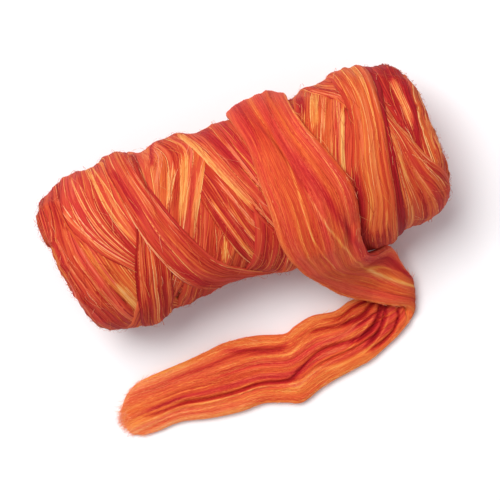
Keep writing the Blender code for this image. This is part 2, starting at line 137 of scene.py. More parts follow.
# The combed bands that show, lowest first. Each runs through rows of an angle from
# the top and the X of its two edges; past 108 an edge runs on over the roll's rim.
# Tone goes from 0, deep red, over orange to 1, yellow gold; rose turns it to pink.
COMBED_COLUMNS = ("name", "thick", "tone", "streaks", "rose", "path")
COMBED = (
    ("left_turn", 1, 0.48, 1, 0.3, (
        (-110, -97, -86), (-70.6, -102.5, -91.2), (-56.1, -110, -98), (-41.4, -114.6, -99.6),
        (-27, -116.5, -101.5), (-8.2, -118.7, -104.7), (15.2, -122.7, -110.7),
        (38.9, -123.6, -111.6), (80.8, -119, -107), (120, -110, -98),
    )),
    ("left_knot", 3.6, 0.42, 1.1, 0.3, (
        (-64, -118, -108), (-54, -122, -107), (-44, -124, -107), (-34, -123, -107.5),
        (-22, -119, -109),
    )),
    ("left_rim", 1.3, 0.4, 1, 0.5, (
        (-178, -118, -102), (-120, -117, -98), (-87.3, -109.5, -88.6), (-54.9, -108, -89),
        (-26.8, -110.5, -90.1), (1.2, -116, -89.3), (19.6, -116.1, -85.9), (38, -114.6, -82.7),
        (56.6, -111.6, -78.7), (77.9, -107, -74.3), (110, -96, -66), (150, -82, -54),
        (178, -74, -46),
    )),
    ("left_under", 1, 0.52, 1, 0, (
        (-55, -99, -80.9), (-17.3, -95.5, -74.1), (1.3, -91.2, -70.3), (19.7, -87.4, -66.8),
        (37.6, -82.7, -63.5), (54.9, -78.7, -58.3), (90, -72.3, -48.9), (130, -58, -34),
        (178, -42, -18),
    )),
    ("fan", 1.4, 0.39, 1.3, 0.4, (
        (-178, -110, -86), (-130, -104, -78), (-87.3, -92.9, -64.8), (-54.9, -95, -60.5),
        (-40.7, -96.1, -59.2), (-26.6, -95.5, -58.9), (-12.5, -91.9, -57.8), (1.4, -85.5, -56),
        (15.2, -76.2, -54.3), (29, -67, -49.8), (48.5, -57, -39.7), (71, -47.9, -30.5),
        (100, -34, -15), (140, -14, 8), (178, 4, 26),
    )),
    ("low_middle", 1, 0.4, 1, 0.2, (
        (-178, 20, 50), (-90, -3.1, 26.2), (-45.3, -18.7, 12.2), (2, -33.1, -1.7),
        (30.2, -43.1, -11.4), (53.9, -51.3, -21.4), (90, -61.6, -31.6), (130, -74, -44),
        (178, -86, -56),
    )),
    ("gore", 1.2, 0.38, 1.3, 0.3, (
        (-178, -62, -34), (-100, -46, -18), (-44.7, -31.2, -5.1), (-16.9, -24.5, 1.3),
        (2.1, -22.2, 5), (25.6, -18.1, 8.7), (39.2, -15.4, 11.6), (52, -12.1, 15.6),
        (90, -1.9, 26.3), (130, 12, 41), (178, 28, 56),
    )),
    ("slant", 1.3, 0.53, 1.3, 0.2, (
        (-178, -20, 16), (-130, -38, -1), (-83.3, -55, -17.8), (-45.4, -53.5, -8),
        (-33.2, -53.2, -12.9), (-7.7, -56.9, -23.6), (17.7, -64.8, -34.3), (54.7, -79.7, -52.5),
        (110, -98, -70), (178, -112, -90),
    )),
    ("front_left", 1.1, 0.36, 1.1, 0.3, (
        (-11.6, 2.3, 17.5), (6.8, 1.2, 23), (20.3, -0.8, 24), (47.3, -8.6, 17.4),
        (72.6, -17.6, 7.9), (110, -32, -6), (145, -46, -20), (178, -60, -34),
    )),
    ("front_back", 1.2, 0.42, 1.2, 0.5, (
        (-178, -66, -38), (-130, -48, -19), (-83, -24.1, 8.7), (-63.6, -21.2, 12.6),
        (-40.4, -15.3, 17), (-18.2, -9.2, 21.4), (2.3, -2.6, 26.8), (20.1, 3, 31.6),
        (44.9, 10.7, 40.5), (90, 24.4, 54.6), (130, 42, 72), (178, 60, 90),
    )),
    ("front_back_over", 0.9, 0.5, 1, 0.4, (
        (-178, -40, -14), (-130, -22, 2), (-90, -7, 14.6), (-53.9, -2.2, 20.2), (-34.9, 1, 23.6),
        (-11.3, 6.5, 28.9), (2.4, 9.3, 32.5), (28.3, 15.4, 40.2), (56.9, 27.3, 52.6), (120, 46, 72),
        (178, 66, 92),
    )),
    ("crossing", 1.3, 0.44, 1, 0.6, (
        (-178, -94, -76), (-130, -83, -66), (-83.1, -67.8, -53), (-54.3, -66.4, -49.8),
        (-35.6, -64.4, -47.5), (-17, -62.6, -43.6), (1.6, -60.3, -38.9), (20.6, -55.8, -32.9),
        (39.8, -50, -26), (59.5, -41.9, -15.5), (90, -27.7, 0.1), (130, -8, 20), (178, 12, 40),
    )),
    ("gold_right", 1.2, 0.54, 1.2, 0, (
        (-178, 74, 106), (-130, 62, 92), (-82, 45.7, 79), (-51.3, 41.4, 72.5), (-24.3, 34.8, 65.4),
        (2.6, 26.8, 57.3), (28.4, 19.2, 51.7), (52.6, 9.8, 44.6), (90, 0.1, 37), (130, -14, 22),
        (178, -28, 8),
    )),
    ("right_turn", 1.2, 0.55, 1.3, 0.4, (
        (-90, 113.6, 129.6), (-46.8, 106.1, 122.1), (-20.7, 100.8, 117.3), (3.2, 98, 113.5),
        (21.8, 97.4, 112.4), (40.1, 95.9, 110.9), (76.9, 91.6, 107.4), (130, 86, 102),
        (178, 78, 94),
    )),
    ("right_dark", 1.1, 0.22, 0.9, 0.8, (
        (-178, 76, 96), (-120, 84, 102), (-85.7, 87.2, 106.6), (-55.9, 89.5, 108.1),
        (-25.3, 90.6, 105.6), (-6.2, 91.8, 103.2), (10.6, 92.6, 100.4), (30.7, 93.7, 99.6),
        (57.7, 94.8, 99.7),
    )),
    ("arch", 1.1, 0.5, 1.1, 0.3, (
        (-178, 14, 38), (-120, 36, 60), (-86.8, 50.6, 73.2), (-65, 55, 78), (-52.6, 60.4, 83.3),
        (-39.7, 65.6, 87.5), (-26.5, 69.3, 88.7), (3, 76.4, 92.6), (39.4, 88.5, 102.9),
        (90, 95.4, 113.4),
    )),
    ("right_fan", 1.2, 0.48, 1, 0.4, (
        (-53, 81.3, 89.5), (-15.4, 81.5, 88.7), (3.1, 81.6, 95), (16.8, 80.3, 98.9),
        (30.2, 78.6, 103.6), (39, 78, 106.9), (55.8, 76.8, 110.7), (87.2, 72.2, 111.4),
        (130, 62, 104), (178, 50, 88),
    )),
    ("right_edge", 1, 0.16, 0.8, 0.9, (
        (-178, 76, 92), (-87.2, 83, 92.6), (-43.8, 83.7, 91.3), (-20, 81.6, 87.9), (3, 78.3, 84.5),
        (20.8, 76, 82.3), (45.8, 72.5, 79.8), (73.7, 68.8, 77.7), (130, 60, 70), (178, 50, 62),
    )),
    ("broad_right", 1.5, 0.53, 0.8, 0.2, (
        (-178, 62, 88), (-130, 64, 88), (-87.1, 65.9, 88.3), (-53, 67.2, 88.9), (-34, 68.2, 87.1),
        (-15.3, 66.1, 84.8), (-4.3, 63.1, 83.1), (7.3, 59.2, 80.7), (20.4, 57.4, 78.4),
        (35.5, 55.7, 76.5), (44.8, 53.1, 74.9), (54.9, 49.5, 73.5), (86.5, 47.7, 71.3),
        (130, 40, 62), (178, 30, 54),
    )),
    ("down_left", 1.3, 0.38, 1.2, 0.2, (
        (-75.9, -57, -48.1), (-26.2, -58.9, -47.4), (1.6, -63.1, -47.4), (12.6, -67.6, -48.5),
        (28.8, -71.8, -50.7), (42.1, -74.7, -53.5), (54.8, -76.8, -55.4), (68.3, -78.7, -58.7),
        (90, -80.2, -60.7), (130, -90, -70), (178, -102, -82),
    )),
    ("crossing_over", 1, 0.44, 1, 0.6, (
        (-178, -92, -76), (-130, -82, -67), (-83.1, -67.3, -55), (-54.3, -65.9, -51.8),
        (-35.6, -63.9, -49.4), (-16.9, -62.2, -45), (1.6, -59.8, -40.3), (20.5, -55.3, -34.3),
        (39.8, -49.5, -27.9), (60.3, -40.9, -18.5), (90, -26.7, -2.8), (130, -6, 17), (178, 14, 38),
    )),
    ("back_turn", 1.2, 0.5, 1, 0.3, (
        (-178, 28, 54), (-150, 24, 46), (-125, 14, 40), (-95, 8, 40), (-52.5, 12.4, 37.5),
        (-15.5, 17.5, 38.4),
    )),
)

# Winding beneath those, which shows at the back and low down: crossing helices of
# one slope in both directions, and turns that cross the roll's two ends.
HELIX_COUNT = 7
HELIX_WIDTH = 27.0
HELIX_SLOPE = 0.34          # millimetres along X for each degree
HELIX_THICK = 1.1
HELIX_REACH = 106.0
BENEATH_STREAKS = 1.2       # how strong the streaks of the helices and end turns are
END_TURNS = 13
END_TURN_WIDTH = 13.0
END_TURN_THICK = 0.7
END_TURN_STEP_DEG = 137.5
END_TURN_NEAREST = 6.5      # from the roll's axis
END_TURN_FURTHEST = 25.0
END_TURN_SPREAD = 0.618     # step between them in turn, as a share of that range
END_TURN_DEG = (0, 24, 46, 62, 72, 82, 100)      # to each side of a turn's middle
END_TURN_SIDE_DEG = 40.0    # how far round the turns at the two ends are shifted, each way
END_TURN_STEEPEST_DEG = 86.0
END_TURN_LEAVES_DEG = 70.0  # past this a turn runs on over the roll's side
END_TURN_ONWARD = 0.25      # and this far for each degree
RIM_X = 108.0               # past this an edge's place runs on along the profile
LAY_LIFT = 4.0              # height of the winding over the body, for reading places at X
LAY_FADE_DEG = 9.0
LOCK_FADE_DEG = 7.0
LOCK_SHARE = 0.6
LOCK_REACH = 0.62           # how far a lock colours its band, as a share of its width
GRID_STEP_DEG = 2.0
UNDER_PASSES = 14
SETTLE_PASSES = 110
FIRST_DROP = 3.4
LAY_ROUNDS = 3

# Single locks that stand out from their bands: start and stop angle, place across
# the band at each, from -1 at its left edge to 1, width, tone and rose.
LOCK_COLUMNS = ("start", "stop", "from_w", "to_w", "width", "tone", "rose")
LOCKS = {
    "fan": (
        (-70, 15, -0.55, -0.2, 0.9, 0.86, 0.35), (-40, 23, -0.94, -0.55, 1.3, 0.84, 0.4),
        (-82, 4, 0.02, 0.42, 1.5, 0.92, 0), (-87, -2, 0.22, 0.62, 1, 0.82, 0.2),
        (-87, -5, 0.62, 0.84, 2, 0.8, 0), (-55, 11, -0.3, 0, 0.7, 0.8, 0.35),
        (-36, 19, -0.72, -0.4, 0.6, 0.84, 0.4),
    ),
    "left_rim": (
        (-26, 82, 0.35, 0.75, 1.1, 0.78, 0.5), (-21, 39, -0.1, 0.15, 0.8, 0.7, 0.6),
        (-17, 13, -0.62, -0.66, 3.2, 0.78, 0), (-22, 10, -0.3, -0.24, 2.4, 0.3, 1),
    ),
    "left_under": (
        (24, 60, -0.56, -0.72, 4.6, 0.94, 0), (-9, 34, -0.8, -0.86, 2, 0.7, 0),
    ),
    "crossing_over": (
        (-26, 50, -0.97, -0.86, 0.9, 0.86, 0.4), (-45, -5, 0.3, 0.34, 2.2, 0.74, 0.6),
        (-55, -7, -0.55, -0.35, 3, 0.22, 1), (-43, 8, 0.78, 0.86, 1, 0.76, 0.7),
        (2, 57, -0.1, 0.1, 0.8, 0.62, 0.5), (24, 62, -0.5, -0.4, 2.6, 0.24, 0.8),
    ),
    "slant": (
        (-42, -10, 0.04, -0.08, 3.2, 0.92, 0.15), (-48, 3, 0.34, 0.46, 4.6, 0.93, 0),
        (-36, 15, 0.95, 0.94, 1.5, 0.95, 0.1), (-82, -24, -0.02, -0.45, 1.6, 0.8, 0.8),
        (-85, -39, -0.34, -0.62, 2.2, 0.68, 0.5), (-87, -41, 0, -0.55, 2.4, 0.22, 0.9),
        (-36, 13, 0.64, 0.68, 2.2, 0.36, 0.8), (-28, 6, 0.84, 0.83, 2.2, 0.84, 0.2),
    ),
    "down_left": (
        (10, 87, 0.06, 0.02, 1.4, 0.88, 0.2), (4, 48, -0.62, -0.62, 1.6, 0.72, 0.4),
        (11, 87, -0.95, -0.95, 1.6, 0.06, 0.4), (26, 77, 0.5, 0.48, 2, 0.14, 0.3),
        (35, 69, 0.8, 0.7, 1.2, 0.66, 0.3),
    ),
    "gore": (
        (-18, 30, 0, 0.4, 1.3, 0.82, 0.7), (-7, 50, -0.6, -0.52, 1.2, 0.88, 0.1),
        (2, 51, -0.8, -0.8, 2.4, 0.14, 0.4), (-3, 44, -0.2, 0.05, 1.2, 0.78, 0.3),
        (2, 48, -0.4, -0.25, 2.6, 0.3, 0.9),
    ),
    "low_middle": (
        (24, 46, 0.42, 0.62, 3.2, 0.86, 0), (23, 48, 0.75, 0.9, 1.4, 0.66, 0.2),
    ),
    "front_back": (
        (-82, 13, -0.91, -0.88, 3.4, 0.95, 0), (-55, 6, -0.62, -0.6, 1.1, 0.7, 0.4),
        (-82, -17, -0.2, -0.2, 5, 0.22, 1), (-36, 43, -0.75, -0.75, 1, 0.78, 0.5),
    ),
    "front_back_over": (
        (-45, 8, -0.93, -0.95, 1.2, 0.84, 0.8),
    ),
    "gold_right": (
        (-65, -24, -0.25, -0.1, 4, 0.9, 0), (-57, -17, 0.1, 0.16, 1.4, 0.8, 0.5),
        (-34, 15, 0.88, 0.96, 2.6, 0.98, 0), (-30, 6, 0.66, 0.72, 0.8, 0.3, 0.9),
        (-67, -39, -0.72, -0.6, 4, 0.16, 0.8),
    ),
    "arch": (
        (-72, -32, -0.9, -0.88, 0.9, 0.7, 0.6), (-69, -39, -0.45, -0.4, 1, 0.72, 0.5),
    ),
    "right_dark": (
        (-50, -2, 0.04, 0.14, 3.6, 0.84, 0.1),
    ),
    "right_turn": (
        (-11, 21, 0.3, -0.1, 1.6, 0.92, 0.1), (-7, 30, 0.62, 0.25, 1.2, 0.88, 0.3),
        (2, 35, 0.86, 0.5, 1.2, 0.8, 0.6),
    ),
    "right_fan": (
        (-7, 35, -0.3, -0.42, 1.2, 0.84, 0.1), (-9, 34, 0.9, 0.94, 1, 0.76, 0.4),
        (21, 82, 0.1, 0.1, 0.9, 0.7, 0.3), (30, 87, 0.45, 0.4, 0.9, 0.72, 0.3),
        (39, 87, -0.2, -0.15, 2, 0.24, 0.4), (48, 92, 0.62, 0.62, 6, 0.4, 0.6),
    ),
    "broad_right": (
        (-87, 2, 0.45, 0.42, 1.1, 0.86, 0), (-87, -17, 0.7, 0.74, 1, 0.76, 0.6),
        (-45, 30, 0.1, 0.16, 1.4, 0.72, 0.4), (-55, 15, -0.5, -0.4, 1.2, 0.66, 0.6),
        # The four dark locks that start at 10, 39, 48 and 56 degrees darken the band's lower part, which
        # curves under beside the loose end: painted shade, partly the fibres' own deep red.
        (10, 65, -0.88, -0.86, 3.6, 0.18, 0.9), (39, 90, -0.9, -0.86, 5.4, 0.02, 0.2),
        (48, 96, -0.62, -0.5, 5, 0.06, 0.2), (56, 96, 0.05, 0.15, 11, 0.19, 0.2),
        (2, 77, 0.2, 0.1, 0.9, 0.74, 0.2), (21, 87, -0.2, -0.1, 0.9, 0.66, 0.2),
        (43, 87, 0.4, 0.4, 0.9, 0.68, 0.1),
    ),
}

# ---- the loose end: the same driving sizes as its solid ----

CLEARANCE = 0.6
BRIDGE_S = 3.5
BRIDGE_DEG = 5.0
TAIL_EDGE = 0.16

WRAP_COLUMNS = ("angle_deg", "left_x", "right_x", "thick")
WRAP = (
    (-142, 15, 32, 1.6),
    (-122, 12, 36, 4),
    (-92, 7, 41.5, 6.2),
    (-58, 8, 41, 6.4),
    (-28, 11, 43.5, 6.4),
    (-4, 10, 50.5, 6.4),
    (17, 9.5, 56, 6.4),
    (38, 8.5, 54.5, 6.8),
    (54, 10.5, 51.5, 7.4),
)

FREE_COLUMNS = ("left_x", "left_y", "left_z", "right_x", "right_y", "right_z", "thick")
FREE = (
    (15, -51.6, 60.4, 51.5, -54.2, 60.4, 7.2),
    (19.5, -57, 48, 55.5, -56.6, 49, 8),
    (25, -64, 37, 62, -56.2, 39, 8.2),
    (30.3, -70.3, 27.5, 66.8, -55.8, 32.5, 8.6),
    (37, -75.6, 21, 69, -58.2, 27.5, 9),
    (44.3, -80.3, 17, 70, -62.6, 23.2, 9),
    (51.9, -85.2, 15.2, 70.9, -67.3, 19.5, 9),
    (58.8, -89.2, 13.2, 71.8, -71.8, 15.6, 8.8),
    (65, -92.8, 9.6, 72.4, -76.3, 10.4, 8.6),
    (65.6, -99.6, 5.8, 68, -78.5, 6, 8.2),
    (57.5, -105.6, 4.3, 59.1, -79.6, 4.6, 8),
    (48, -109.8, 4, 48.8, -78.6, 4.2, 7.8),
    (35.3, -114.4, 4, 36, -77.8, 4, 8),
    (22, -116.4, 4, 25.5, -80.2, 4, 8.2),
    (4, -119, 4, 12, -78, 4.2, 8.6),
    (-11, -123.4, 4, 0.5, -80, 4.2, 9),
    (-20, -120.2, 4, -7, -82, 4.2, 9),
    (-33, -115.8, 4, -23, -77, 4, 8.6),
    (-47, -115.6, 4, -41, -74.4, 4, 8.4),
    (-65, -112.8, 3.8, -54, -75.4, 3.8, 8),
    (-82, -108.6, 3.4, -67, -76.3, 3.4, 7.2),
    (-96.5, -108.8, 2.8, -82.5, -76.8, 2.8, 6),
    (-106.5, -107.4, 2.2, -96.5, -78, 2.2, 4.6),
    (-112, -104, 1.6, -106.5, -82.8, 1.6, 3.2),
    (-113.5, -98, 1, -112.3, -90, 1, 1.9),
)
TURN_ROW = 17.6             # where the fold turns the sheet's other side up
TURN_FADE = 1.2
MIDDLE_STEP = 0.1           # rows between stations of the sheet's middle surface
NORMAL_PASSES = 24

# Creases on the side that shows: rows of the tables above, the place across the sheet
# at each, from -1 at the edge that starts as the left one to 1, depth and half width.
CREASE_COLUMNS = ("rows", "places", "depth", "half_width")
CREASES = (
    ((0.6, 15), (-0.1, -0.3), 0.4, 0.1),
    ((1.2, 15), (0.3, 0.34), 0.5, 0.09),
    ((6, 15), (0.66, 0.7), 0.4, 0.08),
    ((4.6, 6.8, 8.6, 12), (-0.1, -0.3, -0.1, -0.14), 0.6, 0.05),
    ((10.5, 16.8), (-0.5, -0.4), 0.5, 0.06),
    ((19, 20, 20.6, 21.6, 22.2), (0.9, 0.7, 0.42, 0.45, 0.5), 2.8, 0.08),
    ((21, 22.6, 23.6), (0.44, 0.55, 0.62), 1.4, 0.06),
    ((18.8, 19.6, 20.1, 21.1, 22.2), (0.86, 0.58, 0.07, -0.2, -0.05), 3.4, 0.08),
    ((21.2, 22.4, 23.8), (-0.17, -0.02, -0.13), 1.8, 0.06),
    ((22.4, 23.8, 24.9, 26.5, 29.5), (-0.02, -0.13, -0.36, -0.42, -0.34), 1.9, 0.06),
    ((22.6, 24.2, 25.2, 28), (-0.2, -0.26, -0.48, -0.5), 0.9, 0.05),
    ((18.4, 19.2, 19.5, 19.8, 20.1, 21.2), (0.8, 0.55, 0.3, -0.05, -0.27, -0.5), 2.8, 0.075),
    ((18, 18.6, 18.8, 19.2, 20, 21.2), (0.6, 0.4, -0.17, -0.55, -0.74, -0.66), 2.4, 0.07),
    ((18.4, 19.4, 20.2, 21.6), (0.7, 0.4, 0.26, 0.14), 1.8, 0.05),
    ((19, 20.2, 21.4, 22.8), (0.96, 0.82, 0.74, 0.8), 1.8, 0.055),
    ((20, 21.2, 22.4, 23.6), (-0.3, -0.4, -0.36, -0.42), 1.2, 0.05),
    ((24.6, 25.6, 26.4, 27.2), (0.8, 0.52, 0.62, 0.86), 1, 0.07),
    ((22.4, 24, 26.4, 28), (0.24, 0.22, 0.16, 0.2), 0.9, 0.06),
    ((26, 28, 30), (0.1, 0.02, 0.04), 0.5, 0.08),
    ((24, 27, 30), (-0.66, -0.62, -0.6), 0.5, 0.06),
)
CREASE_FADE = 0.8
CREASE_SLANT = 1.4          # how far a slanting crease or stripe is widened, to stay as broad
SLANT_STEP = 0.1            # rows over which its slant is read
WRAP_ROWS = len(WRAP)
LAST_ROW = WRAP_ROWS + len(FREE) - 1.0
LOOSE_WIDTH = 38.0          # flat width of the loose end
LOOSE_LENGTH = 465.0        # along its middle, from under the roll's back to the tip
LOOSE_RELIEF = 1.1
LOOSE_STATIONS = 300
LOOSE_COLUMNS = 96
CRIMP_STEP = 1.6
CRIMP_LENGTH = 6.5
TIP_ROW = 29.0              # past this the fibres run straight on and end at the rounded tip

# Colours along the loose end: middle tone at rows of its tables, partly raised as
# painted light along the hanging part and the tail, which get less light than the
# roll; then stripes between two rows.
TONE_ROWS = (0, 4, 10, 15, 18, 21, 26, 30, 33)
TONE_MIDDLE = (0.46, 0.48, 0.52, 0.53, 0.54, 0.58, 0.58, 0.6, 0.72)
STREAK_ROWS = (0, 7, 9.5, 16.5, 18.5, 33)
STREAK_SHARES = (0.42, 0.38, 0.26, 0.26, 0.48, 0.48)     # how strong its random streaks are
STRIPE_COLUMNS = ("rows", "places", "half_width", "tone", "rose")
STRIPES = (
    # This broad stripe paints the hanging part lighter and pinker: painted light where it faces away from the
    # lamp.
    ((7.4, 17.4), (-0.1, -0.2), 1.5, 0.57, 0.7),
    ((17.9, 18.9, 20, 21.4), (0.3, 0.05, -0.2, -0.1), 0.55, 0.4, 0.8),
    ((0.5, 2.8, 4.6), (-0.66, -0.58, -0.6), 0.24, 0.22, 1),
    ((1, 4), (-0.1, -0.14), 0.05, 0.74, 0),
    ((0.5, 4, 5.4, 8), (0.95, 0.88, 0.74, 0.66), 0.035, 0.84, 0.1),
    ((2, 3.7, 4.8, 6), (0.16, 0.1, 0, -0.1), 0.11, 0.32, 1),
    ((4.2, 5, 6.1, 6.8, 7.6, 8.6, 10.5), (-0.12, -0.15, -0.27, -0.25, -0.15, -0.05, -0.1),
     0.022, 0.94, 0.7),
    ((4.2, 5.2, 5.9, 6.5, 7.3, 8.3, 9.4), (0.16, 0.22, 0.28, 0.4, 0.6, 0.82, 0.9), 0.1, 0.18, 1),
    ((8.6, 9.4, 12, 14.4, 17), (0.86, 0.9, 0.72, 0.78, 0.88), 0.11, 0.16, 1),
    ((4.6, 6, 8.4), (0.9, 0.86, 0.86), 0.16, 0.44, 0),
    ((6.4, 9, 14), (0.4, 0.5, 0.1), 0.018, 0.74, 0.3),
    ((6, 15), (-0.52, -0.34), 0.014, 0.7, 0.4),
    ((6.4, 15.5), (-0.72, -0.6), 0.014, 0.68, 0.3),
    ((5.4, 6.5, 7.2, 8.1, 9.1, 11.1, 12.9), (-0.12, 0.07, 0.25, 0.43, 0.65, 0.28, 0.12), 0.028, 0.92, 0.4),
    ((10.8, 11.6, 12.7, 14, 15.4, 17.8), (0.32, 0.22, 0.13, 0.19, 0.27, 0.43), 0.09, 1.05, 0),
    ((11.2, 11.9, 13.7, 14.9, 15.8), (0.36, 0.33, 0.48, 0.62, 0.7), 0.035, 0.86, 0.2),
    ((10, 11.7, 14, 15.5, 17.4), (0.7, 0.56, 0.62, 0.76, 0.84), 0.1, 0.2, 0.9),
    # The dark stripes on this line and the next eight follow the creases: painted shade in the creases.
    ((19, 20, 20.6, 21.6, 22.4), (0.9, 0.7, 0.42, 0.45, 0.55), 0.06, 0.16, 0.9),
    ((21.4, 22.6, 23.8), (0.44, 0.55, 0.62), 0.035, 0.34, 0.8),
    ((18.8, 19.6, 20.1, 21.1, 22), (0.86, 0.58, 0.07, -0.2, -0.08), 0.08, 0.1, 1),
    ((21.4, 22.4, 24.2), (-0.14, -0.02, -0.14), 0.05, 0.3, 1),
    ((23.2, 23.8, 24.9, 26.5, 31), (-0.09, -0.13, -0.36, -0.42, -0.34), 0.07, 0.2, 1),
    ((18.4, 19.2, 19.5, 19.8, 20.1, 21.4), (0.8, 0.55, 0.3, -0.05, -0.27, -0.5), 0.07, 0.12, 0.9),
    ((18, 18.6, 18.8, 19.2, 20, 21.4), (0.6, 0.4, -0.17, -0.55, -0.74, -0.66), 0.06, 0.18, 0.8),
    ((18.4, 19.4, 20.2, 21.6), (0.7, 0.4, 0.26, 0.14), 0.045, 0.18, 0.9),
    ((19, 20.2, 21.4, 22.8), (0.96, 0.82, 0.74, 0.8), 0.05, 0.22, 0.9),
    ((23.4, 25.2, 27, 31), (-0.02, -0.2, -0.2, -0.16), 0.07, 0.34, 1),
    ((19.6, 20.4, 21.6, 23), (0.52, 0.16, -0.26, -0.4), 0.035, 0.78, 0.2),
    ((19, 19.8, 20.8, 22), (0.3, -0.3, -0.62, -0.7), 0.035, 0.78, 0.2),
    ((20.6, 22.3, 23.2, 24.2, 25.6, 28), (0.82, 0.75, 0.62, 0.43, 0.38, 0.36), 0.05, 0.78, 0),
    ((21.6, 22.3, 23.2, 24.4, 25.7), (-0.6, -0.65, -0.45, -0.6, -0.68), 0.07, 0.8, 0),
    # This dark stripe follows a crease: painted shade in it.
    ((24.4, 25.6, 26.4, 27.6), (0.84, 0.54, 0.64, 0.9), 0.1, 0.3, 0.9),
    ((25, 27, 30), (0.7, 0.58, 0.56), 0.05, 0.36, 0.2),
    ((22, 25, 29), (-0.3, -0.46, -0.5), 0.028, 0.76, 0.1),
    ((26, 33), (-0.9, -0.94), 0.12, 0.88, 0.4),
    ((28.5, 33), (0.88, 0.9), 0.16, 0.84, 0.4),
)
STRIPE_FADE = 0.9
STRIPE_SHARE = 0.7
EDGE_GOLD = 0.1             # the sheet's edges are lighter
LOOSE_ROSE = 0.3

# Strands on the loose end: side, how many, rows covered, first and last row, least and
# most width, wave height and height off the sheet.
LOOSE_STRANDS = (
    (1, 220, (2, 6), (0.5, 18.4), (0.35, 0.75), 0.03, 0),
    (1, 600, (2, 5), (0.5, 18.6), (0.16, 0.4), 0.06, 0.1),
    (1, 200, (1.2, 3), (2, 18.6), (0.1, 0.15), 0.4, 1.2),
    (-1, 200, (2, 6), (17.6, 32.6), (0.35, 0.75), 0.03, 0),
    (-1, 600, (1.5, 4.5), (17.6, 33), (0.16, 0.4), 0.16, 0.1),
    (-1, 300, (1, 3), (21, 33), (0.12, 0.26), 0.3, 0.3),
    (-1, 200, (1.2, 3), (18, 33), (0.1, 0.15), 0.45, 1.2),
)
LOOSE_FUZZ = 1000
TIP_HAIRS_POINT = (-0.93, -0.25, 0.0)
CORNER_ROWS = (8.4, 11.8)   # where the loose end's edge leaves the roll
CORNER_FIBRES = 110
CORNER_REACH = 2.6          # how far past the edge they lie

# ---- fibre detail ----

COLUMN_STEP = 0.62          # across a band that shows
ROW_STEP = 3.2              # along it
HIDDEN_STEP = 1.4           # how much coarser the winding beneath is
EDGE_ROUND = 1.7            # rounding at a band's edges
EDGE_SHARE = 0.45           # a band's thickness near its edges, as a share
EDGE_SINK = 0.35            # how far its edges sink into what they lie on
SKIN_BELOW = 0.8            # depth of a band's underside below what it lies on
FIELD_ROWS = 31             # of each grid of random values
FIELD_COLUMNS = 127
FIELD_HEIGHT = 0.6

# Ridges and shades along the fibres: height or change of tone, then length and width.
RIDGES = ((0.24, 95, 4.2), (0.15, 75, 2), (0.09, 60, 1.1))
SHADES = ((0.12, 120, 5), (0.1, 90, 2.2), (0.08, 80, 1.1))
# Length and width of the other streaks.
GOLD_STREAK = (90, 1.4)
DARK_STREAK = (90, 1.6)
BLUSH_STREAK = (110, 3)
DRIFT_STREAK = (55, 1)
DRIFT = 1.1                 # how far the fibres of a band stray sideways
GOLD_FROM, GOLD_ADDS = 0.75, 0.22       # value where gold streaks begin, and tone they add
DARK_FROM, DARK_TAKES = 0.7, 0.2
STREAK_FADE = 0.35
CREST_PAINTED_HIGHLIGHT = 0.15           # a ridge's crest is painted lighter and its hollow darker: painted highlight and shade
BLUSH = 0.8

STRAND_STEP = 3.2           # along a strand
STRAND_SINK = 0.06
STRAND_RISE = 0.13
STRAND_TAPER = 7.0          # a strand's ends taper over one part in this many
STRAND_BULGE = 0.2          # a lock's rise for each millimetre of its half width
LOCK_PAINTED_CREST_TONE = 0.03
STRAND_REACH = 0.985        # of the half width of its band, for a strand's middle
STRAND_SWING = 0.05         # how far strands swing sideways, as a share of that half width
SWING_RADIANS = 5.0
FINE_RISE = 0.12
# Strands at random over a band: how many a millimetre, drift across it, least and most width.
STRAND_KINDS = {"lock": (2.0, 0.08, 0.35, 0.85), "fine": (3.2, 0.1, 0.18, 0.46)}
HIDDEN_DENSITY = 0.7        # times those numbers, on the winding beneath
SHOWN_DENSITY = 1.1         # and on the bands that show
HAIRS_PER_MM = 2.8
HAIR_WIDTH = 0.17
GOLD_SHARE = 0.2            # of the strands
GOLD_SHIFT = 0.28
DEEP_SHARE = 0.2
DEEP_SHIFT = -0.22
TONE_SPREAD = 0.07
PALE_GOLD = 0.6             # how far the lightest strands lose their pink
PALE_FROM, PALE_FADE = 0.5, 0.25
LOCK_PER_STRAND = 0.6       # millimetres of a lock's width
GRID_STATIONS = 298
INNER_STATIONS = 150
INNER_SLANT = 0.3           # lay of the wound surface beneath the bands
INNER_TONE, INNER_ROSE = 0.34, 0.4
INNER_RELIEF = 0.6


def smoothstep(value):
    """Ease from 0 to 1, flat at both ends."""
    t = np.clip(value, 0.0, 1.0)
    return t * t * (3.0 - 2.0 * t)


def within(at, first, last, fade):
    """Share that rises from 0 after a range begins and falls to 0 before it ends."""
    return smoothstep((at - first) / fade) * smoothstep((last - at) / fade)


def column(table, names, name):
    """One named column of a table."""
    return np.array([row[names.index(name)] for row in table])


def named(names, table):
    """A table's rows, each as a dictionary of its named columns."""
    return [dict(zip(names, row)) for row in table]


def smooth_line(at, places, values):
    """Values between given places, along a smooth curve through each."""
    places, values = np.asarray(places, float), np.asarray(values, float)
    slopes = np.gradient(values, places)
    low = np.clip(np.searchsorted(places, at, side="right") - 1, 0, len(places) - 2)
    span = places[low + 1] - places[low]
    t = np.clip((at - places[low]) / span, 0.0, 1.0)
    curve = (2 * t**3 - 3 * t**2 + 1) * values[low] + (3 * t**2 - 2 * t**3) * values[low + 1]
    return curve + span * ((t**3 - 2 * t**2 + t) * slopes[low] + (t**3 - t**2) * slopes[low + 1])


def smooth_column(table, names, name, at):
    """A named column read at fractional rows, along a curve through every row."""
    values = column(table, names, name)
    return smooth_line(at, np.arange(len(values)), values)


